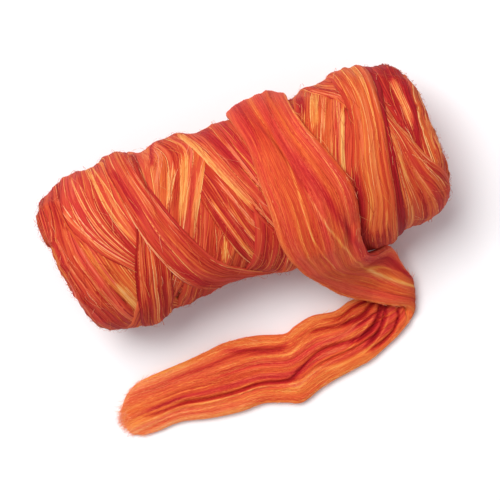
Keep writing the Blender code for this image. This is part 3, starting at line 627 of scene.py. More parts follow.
def read_between(grid, here, beyond, shares):
    """A grid read between a row and column and the next ones, by the shares of the way there."""
    (row, col), (next_row, next_col), (row_share, col_share) = here, beyond, shares
    low = grid[row, col] * (1 - col_share) + grid[row, next_col] * col_share
    high = grid[next_row, col] * (1 - col_share) + grid[next_row, next_col] * col_share
    return low * (1 - row_share) + high * row_share


def unit(vectors):
    """Vectors brought to length 1."""
    return vectors / np.linalg.norm(vectors, axis=-1, keepdims=True)


class StreakField:
    """Smooth random values, long along the fibres and fine across them, about -1 to 1."""

    def __init__(self, rng, long_scale, fine_scale):
        self.grid = rng.standard_normal((FIELD_ROWS, FIELD_COLUMNS)) * FIELD_HEIGHT
        self.scales = (long_scale, fine_scale)

    def at(self, along_mm, across_mm):
        """Values at places given along and across the fibres."""
        rows, cols = along_mm / self.scales[0], across_mm / self.scales[1]
        row, col = np.floor(rows).astype(int), np.floor(cols).astype(int)
        here = (row % FIELD_ROWS, col % FIELD_COLUMNS)
        beyond = ((row + 1) % FIELD_ROWS, (col + 1) % FIELD_COLUMNS)
        return read_between(self.grid, here, beyond, (smoothstep(rows - row), smoothstep(cols - col)))


class Fibres:
    """Ridges and colour streaks along one band of fibres."""

    def __init__(self, rng):
        self.ridges = [(size, StreakField(rng, *scales)) for size, *scales in RIDGES]
        self.shades = [(size, StreakField(rng, *scales)) for size, *scales in SHADES]
        self.gold = StreakField(rng, *GOLD_STREAK)
        self.dark = StreakField(rng, *DARK_STREAK)
        self.blush = StreakField(rng, *BLUSH_STREAK)
        self.drift = StreakField(rng, *DRIFT_STREAK)

    def wander(self, along_mm):
        """How far the fibres stray sideways along the band."""
        return DRIFT * self.drift.at(along_mm, np.zeros(np.shape(along_mm)))

    def relief(self, *place):
        """Height of the ridges at a place along and across the fibres."""
        return sum(size * field.at(*place) for size, field in self.ridges)

    def tone(self, along_mm, across_mm, relief, tone, streaks):
        """Colour streaks, with thin gold and dark ones among them, and ridge crests painted lighter as
        painted highlight.
        """
        place = (along_mm, across_mm)
        shade = sum(size * field.at(*place) for size, field in self.shades)
        gold = smoothstep((self.gold.at(*place) - GOLD_FROM) / STREAK_FADE)
        dark = smoothstep((self.dark.at(*place) - DARK_FROM) / STREAK_FADE)
        varied = (shade + GOLD_ADDS * gold - DARK_TAKES * dark) * streaks
        # Crests of the relief are painted lighter and hollows darker: painted highlight and shade.
        return np.clip(tone + varied + CREST_PAINTED_HIGHLIGHT * relief, 0.0, 1.0)

    def rose(self, along_mm, across_mm, rose):
        """Share of pink in the colour."""
        return np.clip(rose + BLUSH * self.blush.at(along_mm, across_mm), 0.0, 1.0)


# ---- the wound surface ----

STACKED_BANDS = named(SOLID_COLUMNS, SOLID_BANDS)
BAND_LOCKS = {name: named(LOCK_COLUMNS, rows) for name, rows in LOCKS.items()}


def band_place(band, degrees):
    """Place along the profile of a band's middle, through its three given places."""
    t = (degrees - band["from_deg"]) / (band["to_deg"] - band["from_deg"])
    start = band["from_s"] * (1 - t) * (1 - 2 * t)
    middle = band["middle_s"] * 4 * t * (1 - t)
    stop = band["to_s"] * t * (2 * t - 1)
    return start + middle + stop


def pressed_share(degrees):
    """How far the roll's weight flattens the bands at an angle."""
    return 1 - smoothstep((180.0 - np.abs(degrees)) / PRESSED_HALF_DEG)


def band_rise(s, degrees):
    """Height of the wound bands above the roll's body, the topmost band counting."""
    rise = np.zeros(np.broadcast(s, degrees).shape)
    for band in STACKED_BANDS:
        away = np.abs(s - band_place(band, degrees))
        present = within(degrees, band["from_deg"], band["to_deg"], BAND_END_FADE_DEG)
        inside = np.minimum(away / band["half_width"], 1.0)
        height = (band["level"] + band["crown"] * (1 - inside**4)) * present
        cover = smoothstep((band["half_width"] - away) / BAND_EDGE)
        seam = SEAM_DEPTH * np.exp(-(((away - band["half_width"]) / SEAM_WIDTH) ** 2)) * present
        rise = (rise - seam) * (1 - cover) + np.maximum(rise, height) * cover
    pressed = pressed_share(degrees)
    return rise * (1 - pressed) + PRESSED_RISE * pressed


def profile(s):
    """Reach along X, inset from the body's radius and outward direction at s."""
    side = np.sign(s)
    past = np.maximum(np.abs(s) - BODY_HALF, 0.0)
    turn = np.minimum(past / CORNER_RADIUS, math.pi / 2)
    inward = np.maximum(past - CORNER_LENGTH, 0.0)
    dome = END_DOME * np.sin(math.pi / 2 * smoothstep(inward / FACE_RADIUS))
    hollow = DIMPLE_DEPTH * smoothstep((inward - FACE_RADIUS + DIMPLE_RADIUS) / DIMPLE_RADIUS)
    trim = np.where(s < 0, END_TRIM[-1], END_TRIM[1]) * smoothstep((np.abs(s) - BODY_HALF / 2) / BODY_HALF)
    reach = np.minimum(np.abs(s), BODY_HALF) + CORNER_RADIUS * np.sin(turn) + dome - hollow - trim
    inset = CORNER_RADIUS * (1 - np.cos(turn)) + inward
    return side * reach, inset, side * np.sin(turn), np.cos(turn)


def body_breadth(s, side, degrees):
    """Half breadth of the roll's body at one side: its outline less the bands there."""
    outline = np.interp(profile(s)[0], *(column(OUTLINE, OUTLINE_COLUMNS, name) for name in ("x", side)))
    offsets = np.linspace(-SIDE_AVERAGE, SIDE_AVERAGE, SIDE_SAMPLES)
    return outline - np.mean([band_rise(s + offset, np.full(s.shape, degrees)) for offset in offsets], axis=0)


PROFILE_S = np.linspace(-HALF_PROFILE, HALF_PROFILE, PROFILE_STATIONS)
BACK_BREADTH = body_breadth(PROFILE_S, "back", -90.0)
FRONT_BREADTH = body_breadth(PROFILE_S, "front", 90.0)


def body_point(s, degrees, lift):
    """Point at a lift above the roll's body, under its bands."""
    s, degrees, lift = np.broadcast_arrays(*(np.asarray(part, float) for part in (s, degrees, lift)))
    s = np.clip(s, -HALF_PROFILE, HALF_PROFILE)
    x, inset, along, outward = profile(s)
    back = np.interp(s, PROFILE_S, BACK_BREADTH)
    front = np.interp(s, PROFILE_S, FRONT_BREADTH)
    middle = (back + front) / 2
    sine, cosine = np.sin(np.radians(degrees)), np.cos(np.radians(degrees))
    breadth = middle + (front - back) / 2 * sine
    below = BOTTOM_RADIUS - PRESSED_RISE
    depth = np.where(cosine >= 0, middle - TOP_DROP, middle + (below - middle) * smoothstep(-2 * cosine))
    shrink = np.clip(1 - inset / (CORNER_RADIUS + FACE_RADIUS), 0.0, 1.0)
    y = -(breadth * shrink + lift * outward) * sine
    z = AXIS_HEIGHT + (depth * shrink + lift * outward) * cosine
    end_share = smoothstep((np.abs(s) - BODY_HALF + LEAN_BEFORE) / LEAN_FADE)
    x = x + lift * along - np.where(s < 0, END_LEAN[-1], END_LEAN[1]) * y * end_share
    return np.stack((x, y, np.maximum(z, 0.0)), axis=-1)


# ---- the lay of the combed bands ----


def lay_place(x):
    """Place along the profile of an X on the winding, running on over the rims."""
    x = np.asarray(x, float)
    places = np.zeros(x.shape)
    s = np.linspace(0.0, HALF_PROFILE, PROFILE_STATIONS)
    for side in (-1.0, 1.0):
        reach, _, along, _ = profile(side * np.maximum(s, 1e-6))
        stands = np.maximum.accumulate(np.abs(reach) + LAY_LIFT * np.abs(along))
        rim = np.interp(RIM_X, stands, s)
        past = np.where(np.abs(x) > RIM_X, rim + np.abs(x) - RIM_X, np.interp(np.abs(x), stands, s))
        places = np.where(np.sign(x) == side, side * past, places)
    return places


class Band:
    """One combed band: its edges round the roll, and how its fibres are coloured."""

    def __init__(self, name, thick, tone, streaks, rose, degrees, left, right, shows=True):
        self.name = name
        self.thick = thick
        self.tone = tone
        self.streaks = streaks
        self.rose = rose
        self.degrees = np.asarray(degrees, float)
        self.left = np.asarray(left, float)
        self.right = np.asarray(right, float)
        self.shows = shows
        self.under = None
        self.fibres = None
        run = np.radians(np.abs(np.diff(self.degrees))) * AXIS_HEIGHT
        self.length = float(np.sum(np.hypot(run, np.diff((self.left + self.right) / 2))))
        self.half = float(np.mean(self.right - self.left)) / 2

    def edges(self, degrees):
        """Places of both edges along the profile, at angles within the band's run."""
        return smooth_line(degrees, self.degrees, self.left), smooth_line(degrees, self.degrees, self.right)

    def present(self, degrees):
        """Share of the band's thickness, fading out at its two ends."""
        return within(degrees, self.degrees[0], self.degrees[-1], LAY_FADE_DEG)

    def from_edge(self, across, half_width):
        """Share of the way in from the nearest edge, past its rounding."""
        return np.clip((1 - np.abs(across)) * half_width / EDGE_ROUND, 0.0, 1.0)

    def height(self, across, half_width, degrees):
        """Height of the band's top over what it lies on."""
        rounded = np.sqrt(1 - (1 - self.from_edge(across, half_width)) ** 2)
        body = EDGE_SHARE + (1 - EDGE_SHARE) * (1 - across**4)
        return self.thick * self.present(degrees) * body * rounded

    def surface(self, degrees, across):
        """Places on the band's top: along the profile, lift, and along and across its fibres."""
        degrees, across = np.broadcast_arrays(degrees, across)
        left, right = self.edges(degrees)
        half_width = (right - left) / 2
        place = (left + right) / 2 + across * half_width
        along_mm = (degrees - self.degrees[0]) / (self.degrees[-1] - self.degrees[0]) * self.length
        across_mm = across * self.half + self.fibres.wander(along_mm)
        relief = self.fibres.relief(along_mm, across_mm)
        kept = self.from_edge(across, half_width) * self.present(degrees)
        height = self.height(across, half_width, degrees) + relief * kept
        lift = read_grid(self.under, place, degrees) + height - EDGE_SINK * (1 - kept)
        return place, lift, along_mm, across_mm, relief


def helix_bands():
    """Crossing bands beneath the ones that show, laid right and left in turn."""
    rng = np.random.default_rng(3)
    degrees = np.linspace(-178.0, 178.0, 9)
    bands = []
    for number in range(HELIX_COUNT):
        for slope in (HELIX_SLOPE, -HELIX_SLOPE):
            middle = -HELIX_REACH + 2 * HELIX_REACH * (number + 0.5) / HELIX_COUNT
            x = np.clip(middle + slope * degrees, -HELIX_REACH, HELIX_REACH)
            width = HELIX_WIDTH * rng.uniform(0.85, 1.1)
            tone, rose = rng.uniform(0.32, 0.56), rng.uniform(0.0, 0.8)
            edges = (lay_place(x - width / 2), lay_place(x + width / 2))
            bands.append(Band("helix", HELIX_THICK, tone, BENEATH_STREAKS, rose, degrees, *edges, False))
    return bands


def end_turn_bands():
    """Turns that cross the roll's ends as chords round a shallow hollow."""
    rng = np.random.default_rng(4)
    degrees = np.array([-angle for angle in END_TURN_DEG[:0:-1]] + list(END_TURN_DEG), float)
    bands = []
    for side in (-1.0, 1.0):
        for number in range(END_TURNS):
            share = (number * END_TURN_SPREAD) % 1.0
            nearest = END_TURN_NEAREST + (END_TURN_FURTHEST - END_TURN_NEAREST) * share
            radius = nearest / np.cos(np.radians(np.clip(np.abs(degrees), 0.0, END_TURN_STEEPEST_DEG)))
            turn = np.arccos(np.clip(1 - (BOTTOM_RADIUS - radius) / CORNER_RADIUS, 0.0, 1.0))
            place = np.where(radius < FACE_RADIUS, HALF_PROFILE - radius, BODY_HALF + CORNER_RADIUS * turn)
            onward = BODY_HALF - END_TURN_ONWARD * (np.abs(degrees) - END_TURN_LEAVES_DEG)
            place = np.where(radius > BOTTOM_RADIUS, onward, place)
            middle = (number * END_TURN_STEP_DEG + END_TURN_SIDE_DEG * side) % 360.0 - 180.0
            half = END_TURN_WIDTH * rng.uniform(0.4, 0.6)
            tone, rose = rng.uniform(0.30, 0.60), rng.uniform(0.0, 0.8)
            look = (END_TURN_THICK, tone, BENEATH_STREAKS, rose)
            bands.append(Band("end_turn", *look, degrees + middle, side * place - half, side * place + half))
    return bands


def combed_bands():
    """The bands of the table, in laying order."""
    bands = []
    for given in named(COMBED_COLUMNS, COMBED):
        degrees, left, right = np.array(given.pop("path"), float).T
        bands.append(Band(degrees=degrees, left=lay_place(left), right=lay_place(right), **given))
    return bands


GRID_S = np.linspace(-HALF_PROFILE, HALF_PROFILE, GRID_STATIONS)
GRID_DEG = np.arange(-180.0, 180.0, GRID_STEP_DEG)


def soften(grid, passes):
    """Average each place with its neighbours, along the roll and round it."""
    for _ in range(passes):
        grid = (np.roll(grid, 1, axis=1) + 2 * grid + np.roll(grid, -1, axis=1)) / 4
        padded = np.pad(grid, ((1, 1), (0, 0)), mode="edge")
        grid = (padded[:-2] + 2 * grid + padded[2:]) / 4
    return grid


def read_grid(grid, s, degrees):
    """A grid of heights read at any place on the roll."""
    row = (np.clip(s, -HALF_PROFILE, HALF_PROFILE) + HALF_PROFILE) / (2 * HALF_PROFILE) * (len(GRID_S) - 1)
    col = np.mod(degrees + 180.0, 360.0) / GRID_STEP_DEG
    low_row = np.clip(np.floor(row).astype(int), 0, len(GRID_S) - 2)
    low_col = np.floor(col).astype(int) % len(GRID_DEG)
    beyond = (low_row + 1, (low_col + 1) % len(GRID_DEG))
    return read_between(grid, (low_row, low_col), beyond, (row - low_row, col - np.floor(col)))


def lay_bands(bands):
    """Lay every band on what lies beneath it, and draw all down to the solid's surface."""
    s = GRID_S[:, None]
    solid = band_rise(s, GRID_DEG[None, :])
    base = soften(solid, SETTLE_PASSES) - FIRST_DROP
    for _ in range(LAY_ROUNDS):
        surface = base
        for band in bands:
            band.under = np.maximum(soften(surface, UNDER_PASSES), surface)
            centre = (band.degrees[0] + band.degrees[-1]) / 2
            degrees = centre + np.mod(GRID_DEG - centre + 180.0, 360.0) - 180.0
            left, right = band.edges(degrees)
            across = (2 * s - left - right) / (right - left)
            inside = (np.abs(across) < 1) & (degrees > band.degrees[0]) & (degrees < band.degrees[-1])
            height = band.height(np.clip(across, -1, 1), (right - left)[None, :] / 2, degrees[None, :])
            surface = np.where(inside, np.maximum(surface, band.under + height), surface)
        base = base + soften(solid - surface, SETTLE_PASSES)
    return base


# ---- meshes of many strips ----


class Strips:
    """Strips gathered into one mesh.

    The values at each point are its places along and across the fibres, tone and rose.
    """

    def __init__(self):
        self.points = []
        self.values = []
        self.quads = []
        self.caps = []
        self.count = 0

    def keep(self, points, corners, values):
        """Points with their values, and the quads between them."""
        shape = points.shape[:-1]
        self.points.append(points.reshape(-1, 3))
        self.values.append(np.stack([np.broadcast_to(value, shape).ravel() for value in values], axis=-1))
        self.quads.append(np.stack(corners, axis=-1).reshape(-1, 4) + self.count)
        self.count += math.prod(shape)

    def add_closed(self, rings, *values):
        """One strip of closed rings, capped at both ends."""
        index = np.arange(math.prod(rings.shape[:2])).reshape(rings.shape[:2])
        beyond = np.roll(index, -1, axis=1)
        self.caps += [index[0][::-1] + self.count, index[-1] + self.count]
        self.keep(rings, (index[:-1], beyond[:-1], beyond[1:], index[1:]), values)

    def add_open(self, rings, *values):
        """Many open strips of one size: strips by rows by places across."""
        index = np.arange(math.prod(rings.shape[:3])).reshape(rings.shape[:3])
        corners = (index[:, :-1, :-1], index[:, :-1, 1:], index[:, 1:, 1:], index[:, 1:, :-1])
        self.keep(rings, corners, values)

    def make(self, name, material, slot, node):
        """The joined mesh, as a piece that rides on the roll's body."""
        points = np.concatenate(self.points) * MM
        values = np.concatenate(self.values)
        quads = np.concatenate(self.quads)
        corners = np.concatenate([quads.ravel()] + self.caps).astype(np.int32)
        sizes = np.array([4] * len(quads) + [len(cap) for cap in self.caps], np.int32)
        mesh = bpy.data.meshes.new(name)
        mesh.vertices.add(len(points))
        mesh.vertices.foreach_set("co", points.astype(np.float32).ravel())
        mesh.loops.add(len(corners))
        mesh.loops.foreach_set("vertex_index", corners)
        mesh.polygons.add(len(sizes))
        mesh.polygons.foreach_set("loop_start", (np.cumsum(sizes) - sizes).astype(np.int32))
        mesh.update(calc_edges=True)
        along_across = values[:, :2][corners] * MM
        mesh.uv_layers.new(name="fibre").data.foreach_set("uv", along_across.astype(np.float32).ravel())
        for label, value in (("tone", values[:, 2]), ("rose", values[:, 3])):
            layer = mesh.attributes.new(label, "FLOAT", "POINT")
            layer.data.foreach_set("value", value.astype(np.float32))
        mesh.shade_smooth()
        mesh.materials.append(material)
        piece = bpy.data.objects.new(name, mesh)
        bpy.context.scene.collection.objects.link(piece)
        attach(piece, "root")
        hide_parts(node)
        return piece


def lock_tones(band, degrees, across, tone, rose):
    """Tone and rose with the table's locks that stand out on a band drawn in."""
    left, right = band.edges(degrees)
    for lock in BAND_LOCKS.get(band.name, ()):
        t = np.clip((degrees - lock["start"]) / (lock["stop"] - lock["start"]), 0.0, 1.0)
        centre = lock["from_w"] + (lock["to_w"] - lock["from_w"]) * t
        away = (across - centre) * (right - left) / 2
        beside = np.exp(-((away / (LOCK_REACH * lock["width"])) ** 4))
        mask = LOCK_SHARE * within(degrees, lock["start"], lock["stop"], LOCK_FADE_DEG) * beside
        tone = tone + (lock["tone"] - tone) * mask
        rose = rose + (lock["rose"] - rose) * mask
    return tone, rose


def band_strip(strips, band):
    """One band as a closed ribbon on what lies beneath it."""
    coarse = 1.0 if band.shows else HIDDEN_STEP
    rows = max(8, int(band.length / (ROW_STEP * coarse)))
    columns = max(6, int(2 * band.half / (COLUMN_STEP * coarse)))
    degrees = np.linspace(band.degrees[0], band.degrees[-1], rows)[:, None]
    across = np.linspace(-1.0, 1.0, columns)[None, :]
    place, lift, along_mm, across_mm, relief = band.surface(degrees, across)
    tone = band.fibres.tone(along_mm, across_mm, relief, band.tone, band.streaks)
    rose = band.fibres.rose(along_mm, across_mm, band.rose)
    tone, rose = lock_tones(band, degrees, across, tone, rose)
    left, right = band.edges(degrees)
    under_across = np.linspace(1.0, -1.0, 5)[None, 1:-1]
    under_place = (left + right) / 2 + under_across * (right - left) / 2
    under = body_point(under_place, degrees, read_grid(band.under, under_place, degrees) - SKIN_BELOW)
    rings = np.concatenate((body_point(place, degrees, lift), under), axis=1)
    plain = np.ones(under.shape[:2])
    sides = ((across_mm, under_across * band.half), (tone, band.tone), (rose, band.rose))
    values = [np.concatenate((top, below * plain), axis=1) for top, below in sides]
    strips.add_closed(rings, along_mm[:, :1], *values)


def strand_strips(strips, rng, band, strands, kind="lock"):
    """Thin locks, flat fine fibres or raised hairs along a band, given by arrays of their values."""
    start, stop, from_w, to_w, width, tone, rose, *raised = (part[:, None, None] for part in strands)
    rows = max(6, int(np.max(np.radians(stop - start)) * AXIS_HEIGHT / STRAND_STEP))
    t = np.linspace(0.0, 1.0, rows)[None, :, None]
    degrees = start + (stop - start) * t
    phase = rng.uniform(0.0, 2 * math.pi, start.shape)
    swing = rng.uniform(0.0, STRAND_SWING, start.shape) * np.sin(phase + SWING_RADIANS * t)
    middle = from_w + (to_w - from_w) * t + swing
    half = width / 2 * np.clip(np.minimum(t, 1 - t) * STRAND_TAPER, 0.04, 1.0)
    side = np.array((-1.0, 0.0, 1.0) if kind == "lock" else (-1.0, 1.0))[None, None, :]
    left, right = band.edges(degrees)
    across = np.clip(middle, -STRAND_REACH, STRAND_REACH) + side * half / ((right - left) / 2)
    place, lift, along, aside, _ = band.surface(degrees, across)
    rise = FINE_RISE
    if kind == "lock":
        rise = np.where(side == 0, STRAND_RISE + STRAND_BULGE * half, -STRAND_SINK)
        # A lock's raised middle is painted lighter and its edges darker: painted highlight and shade.
        tone = tone + np.where(side == 0, LOCK_PAINTED_CREST_TONE, -LOCK_PAINTED_CREST_TONE)
    if kind == "hair":
        rise = FINE_RISE + raised[0] * 4 * t * (1 - t)
    elif band.shows:
        tone, rose = lock_tones(band, degrees, across, tone, rose)
    shifted = rng.uniform(0.0, 300.0, start.shape)
    points = body_point(place, degrees, lift + rise)
    strips.add_open(points, along + shifted, aside + shifted, np.clip(tone, 0, 1), rose)


def mixed_tones(rng, count):
    """Shifts of tone for strands: most near their band's own, some golden, some deep red."""
    kind = rng.uniform(0.0, 1.0, count)
    shift = np.where(kind < GOLD_SHARE, GOLD_SHIFT, np.where(kind > 1 - DEEP_SHARE, DEEP_SHIFT, 0.0))
    return shift + rng.normal(0.0, TONE_SPREAD, count)


def less_pink(rose, tone):
    """Rose with the lightest fibres kept golden."""
    return rose * (1 - PALE_GOLD * smoothstep((tone - PALE_FROM) / PALE_FADE))


def strand_runs(rng, band, count, drift, margin, room, lengths, reach):
    """Start and stop angles, and places across at both, of strands laid at random on a band."""
    first, last = band.degrees[0] + margin, band.degrees[-1] - margin
    start = rng.uniform(first, max(first + 1.0, last - room), count)
    stop = np.minimum(start + rng.uniform(*lengths, count), last)
    from_w = rng.uniform(-reach, reach, count)
    return start, stop, from_w, np.clip(from_w + rng.normal(0.0, drift, count), -reach, reach)


def band_strands(strips, rng, band, density, kind):
    """Random thin locks or finer fibres over a whole band."""
    per_mm, drift, *widths = STRAND_KINDS[kind]
    count = max(4, int(2 * band.half * density * per_mm))
    runs = strand_runs(rng, band, count, drift, margin=4.0, room=40.0, lengths=(35.0, 90.0), reach=0.98)
    width = rng.uniform(*widths, count)
    tone = np.clip(band.tone + mixed_tones(rng, count) * band.streaks, 0.02, 0.97)
    rose = less_pink(np.clip(band.rose + rng.normal(0.0, 0.35, count), 0.0, 1.0), tone)
    strand_strips(strips, rng, band, (*runs, width, tone, rose), kind)


def band_hairs(strips, rng, band):
    """Stray hairs that stand a little off a band."""
    count = max(2, int(2 * band.half * HAIRS_PER_MM))
    runs = strand_runs(rng, band, count, 0.3, margin=6.0, room=20.0, lengths=(8.0, 24.0), reach=0.95)
    width = np.full(count, HAIR_WIDTH)
    tone = np.clip(0.6 + rng.normal(0.0, 0.2, count), 0.1, 0.98)
    rose = rng.uniform(0.0, 0.7, count)
    raised = 0.3 + 2.6 * rng.uniform(0.0, 1.0, count) ** 2.2
    strand_strips(strips, rng, band, (*runs, width, tone, rose, raised), "hair")


def lay_lock(strips, rng, band, lock):
    """One lock that stands out, as a bundle of thin strands side by side."""
    count = max(2, int(lock["width"] / LOCK_PER_STRAND))
    left, right = band.edges(np.array([(lock["start"] + lock["stop"]) / 2.0]))
    reach = lock["width"] / float(right[0] - left[0])
    offset = np.linspace(-reach, reach, count)
    start = lock["start"] + rng.uniform(-5.0, 6.0, count)
    stop = lock["stop"] + rng.uniform(-8.0, 5.0, count)
    width = rng.uniform(0.35, 0.7, count)
    tone = np.clip(lock["tone"] + rng.normal(0.0, 0.08, count), 0.0, 1.0)
    rose = np.clip(lock["rose"] + rng.normal(0.0, 0.12, count), 0.0, 1.0)
    places = (lock["from_w"] + offset, lock["to_w"] + offset)
    strand_strips(strips, rng, band, (start, stop, *places, width, tone, rose))


def wind_bands(material):
    """Every band as a ribbon with thin locks on it, joined into pieces by layer."""
    rng = np.random.default_rng(11)
    helices, turns, combed = helix_bands(), end_turn_bands(), combed_bands()
    laid = helices + turns + combed
    base = lay_bands(laid)
    for band in laid:
        band.fibres = Fibres(rng)
    under_winding(base, material)
    hairs = Strips()
    half = len(combed) // 2
    groups = (
        ("winding_crossed", helices, HIDDEN_DENSITY),
        ("winding_end_turns", turns, HIDDEN_DENSITY),
        ("winding_lower", combed[:half], SHOWN_DENSITY),
        ("winding_upper", combed[half:], SHOWN_DENSITY),
    )
    for name, bands, density in groups:
        ribbons, strands = Strips(), Strips()
        for band in bands:
            band_strip(ribbons, band)
            for kind in STRAND_KINDS:
                band_strands(strands, rng, band, density, kind)
            band_hairs(hairs, rng, band)
        by_name = {band.name: band for band in bands}
        for band_name in [given for given in BAND_LOCKS if given in by_name]:
            for lock in BAND_LOCKS[band_name]:
                lay_lock(strands, rng, by_name[band_name], lock)
        ribbons.make(name, material, "roll_wool", "roll")
        strands.make(name + "_locks", material, "roll_wool", "roll")
    hairs.make("winding_stray_hairs", material, "roll_wool", "roll")


def under_winding(base, material):
    """The wound surface under the bands, streaked along its lay."""
    fibres = Fibres(np.random.default_rng(5))
    stations = np.linspace(-HALF_PROFILE, HALF_PROFILE, INNER_STATIONS)[:, None]
    degrees = np.linspace(-180.0, 180.0, INNER_STATIONS, endpoint=False)[None, :]
    along_mm = np.radians(degrees + 180) * AXIS_HEIGHT + 0 * stations
    across_mm = stations + INNER_SLANT * along_mm
    relief = fibres.relief(along_mm, across_mm)
    tone = fibres.tone(along_mm, across_mm, relief, INNER_TONE, 1.0)
    lift = read_grid(base, stations, degrees) + INNER_RELIEF * relief
    points = body_point(stations, degrees, lift)
    strips = Strips()
    strips.add_closed(points, along_mm, across_mm, tone, INNER_ROSE)
    strips.make("winding_inner", material, "roll_wool", "roll")


# ---- materials ----

# Colours from deep red over orange to yellow gold, and the same turned to pink.
GOLD_RAMP = (
    (0, (0.27, 0.006, 0.006)),
    (0.25, (0.42, 0.018, 0.01)),
    (0.45, (0.59, 0.06, 0.02)),
    (0.62, (0.71, 0.134, 0.03)),
    (0.82, (0.81, 0.29, 0.058)),
    (1, (0.87, 0.48, 0.15)),
)
ROSE_RAMP = (
    (0, (0.27, 0.005, 0.01)),
    (0.25, (0.44, 0.012, 0.019)),
    (0.45, (0.62, 0.048, 0.032)),
    (0.62, (0.72, 0.106, 0.052)),
    (0.82, (0.81, 0.24, 0.15)),
    (1, (0.87, 0.43, 0.33)),
)
LOOSE_PAINTED_LIGHT_GAIN = 1.13           # the loose end's wool is painted this much lighter than the wound wool: painted light, as it gets less light
WOOL_FINISH = {
    "Roughness": 0.62, "Specular IOR Level": 0.10,
    "Sheen Weight": 0.03, "Sheen Roughness": 0.45, "Sheen Tint": (1.0, 0.55, 0.35, 1.0),
}
# Noise along the fibres: cycles a metre along and across them, and detail.
CRIMP_NOISE = (170, 90, 1)
STREAK_NOISE = (24, 1500, 2)
HAIR_NOISE = (130, 4400, 2)
CRIMP_REACH = 0.0011        # metres of sideways crimp in the finest fibres
LEVEL_SHIFT = -0.4          # of the ramps' place, to make room for both noises
STREAK_WEIGHT = 0.5
HAIR_WEIGHT = 0.3
BUMP_STRENGTH = 0.6
STREAK_BUMP = 0.0006        # metres
HAIR_BUMP = 0.0003


def colour_ramp(nodes, stops, gain):
    """A ramp node through the given stops, lightened by a gain."""
    ramp = nodes.new("ShaderNodeValToRGB")
    for place, colour in stops[1:-1]:
        ramp.color_ramp.elements.new(place)
    for element, (place, colour) in zip(ramp.color_ramp.elements, stops):
        element.position = place
        element.color = (*(min(part * gain, 0.95) for part in colour), 1.0)
    return ramp


def fibre_noise(nodes, links, coordinates, scales):
    """Noise drawn out along the fibres."""
    along, across, detail = scales
    stretch = nodes.new("ShaderNodeMapping")
    stretch.inputs["Scale"].default_value = (along, across, 1.0)
    links.new(coordinates, stretch.inputs["Vector"])
    noise = nodes.new("ShaderNodeTexNoise")
    noise.inputs["Scale"].default_value = 1.0
    noise.inputs["Detail"].default_value = detail
    links.new(stretch.outputs["Vector"], noise.inputs["Vector"])
    return noise.outputs["Fac"]


def multiply_add(nodes, links, value, factor, added):
    """A value times a factor, plus a number or another output."""
    node = nodes.new("ShaderNodeMath")
    node.operation = "MULTIPLY_ADD"
    node.inputs[1].default_value = factor
    links.new(value, node.inputs[0])
    if isinstance(added, float):
        node.inputs[2].default_value = added
    else:
        links.new(added, node.inputs[2])
    return node.outputs["Value"]


def attribute_value(nodes, name):
    """A mesh attribute's value at each point."""
    node = nodes.new("ShaderNodeAttribute")
    node.attribute_name = name
    return node.outputs["Fac"]


def wool_material(name, gain):
    """Combed fibre: colour by tone and rose, with finer streaks and bump along the fibres."""
    material = bpy.data.materials.new(name)
    material.use_nodes = True
    nodes, links = material.node_tree.nodes, material.node_tree.links
    shader = nodes["Principled BSDF"]
    for socket, value in WOOL_FINISH.items():
        shader.inputs[socket].default_value = value
    fibre = nodes.new("ShaderNodeUVMap")
    fibre.uv_map = "fibre"
    crimp = fibre_noise(nodes, links, fibre.outputs["UV"], CRIMP_NOISE)
    shift = nodes.new("ShaderNodeCombineXYZ")
    links.new(multiply_add(nodes, links, crimp, CRIMP_REACH, 0.0), shift.inputs["Y"])
    crimped = nodes.new("ShaderNodeVectorMath")
    links.new(fibre.outputs["UV"], crimped.inputs[0])
    links.new(shift.outputs["Vector"], crimped.inputs[1])
    streak = fibre_noise(nodes, links, crimped.outputs["Vector"], STREAK_NOISE)
    hair = fibre_noise(nodes, links, crimped.outputs["Vector"], HAIR_NOISE)
    level = multiply_add(nodes, links, attribute_value(nodes, "tone"), 1.0, LEVEL_SHIFT)
    level = multiply_add(nodes, links, streak, STREAK_WEIGHT, level)
    level = multiply_add(nodes, links, hair, HAIR_WEIGHT, level)
    mix = nodes.new("ShaderNodeMix")
    mix.data_type = "RGBA"
    links.new(attribute_value(nodes, "rose"), mix.inputs["Factor"])
    for stops, socket in ((GOLD_RAMP, "A"), (ROSE_RAMP, "B")):
        ramp = colour_ramp(nodes, stops, gain)
        links.new(level, ramp.inputs["Fac"])
        links.new(ramp.outputs["Color"], mix.inputs[socket])
    links.new(mix.outputs["Result"], shader.inputs["Base Color"])
    bumped = shader.inputs["Normal"]
    for height, distance in ((hair, HAIR_BUMP), (streak, STREAK_BUMP)):
        bump = nodes.new("ShaderNodeBump")
        bump.inputs["Strength"].default_value = BUMP_STRENGTH
        bump.inputs["Distance"].default_value = distance
        links.new(height, bump.inputs["Height"])
        links.new(bump.outputs["Normal"], bumped)
        bumped = bump.inputs["Normal"]
    return material


# ---- the loose end ----

CREASE_LINES = named(CREASE_COLUMNS, CREASES)
STRIPE_LINES = named(STRIPE_COLUMNS, STRIPES)


def bridging_lift(x, degrees):
    """How far the bands at a point and close by stand above the roll's body."""
    near = [
        band_rise(x + along * BRIDGE_S, degrees + round_by * BRIDGE_DEG)
        for along in (-1, 0, 1) for round_by in (-1, 0, 1)
    ]
    return np.max(near, axis=0)


def thickness_across(across):
    """Share of the full thickness: rounded, thinner at both edges."""
    return TAIL_EDGE + (1 - TAIL_EDGE) * np.sqrt(np.clip(1 - np.abs(across) ** 2.6, 0.0, 1.0))


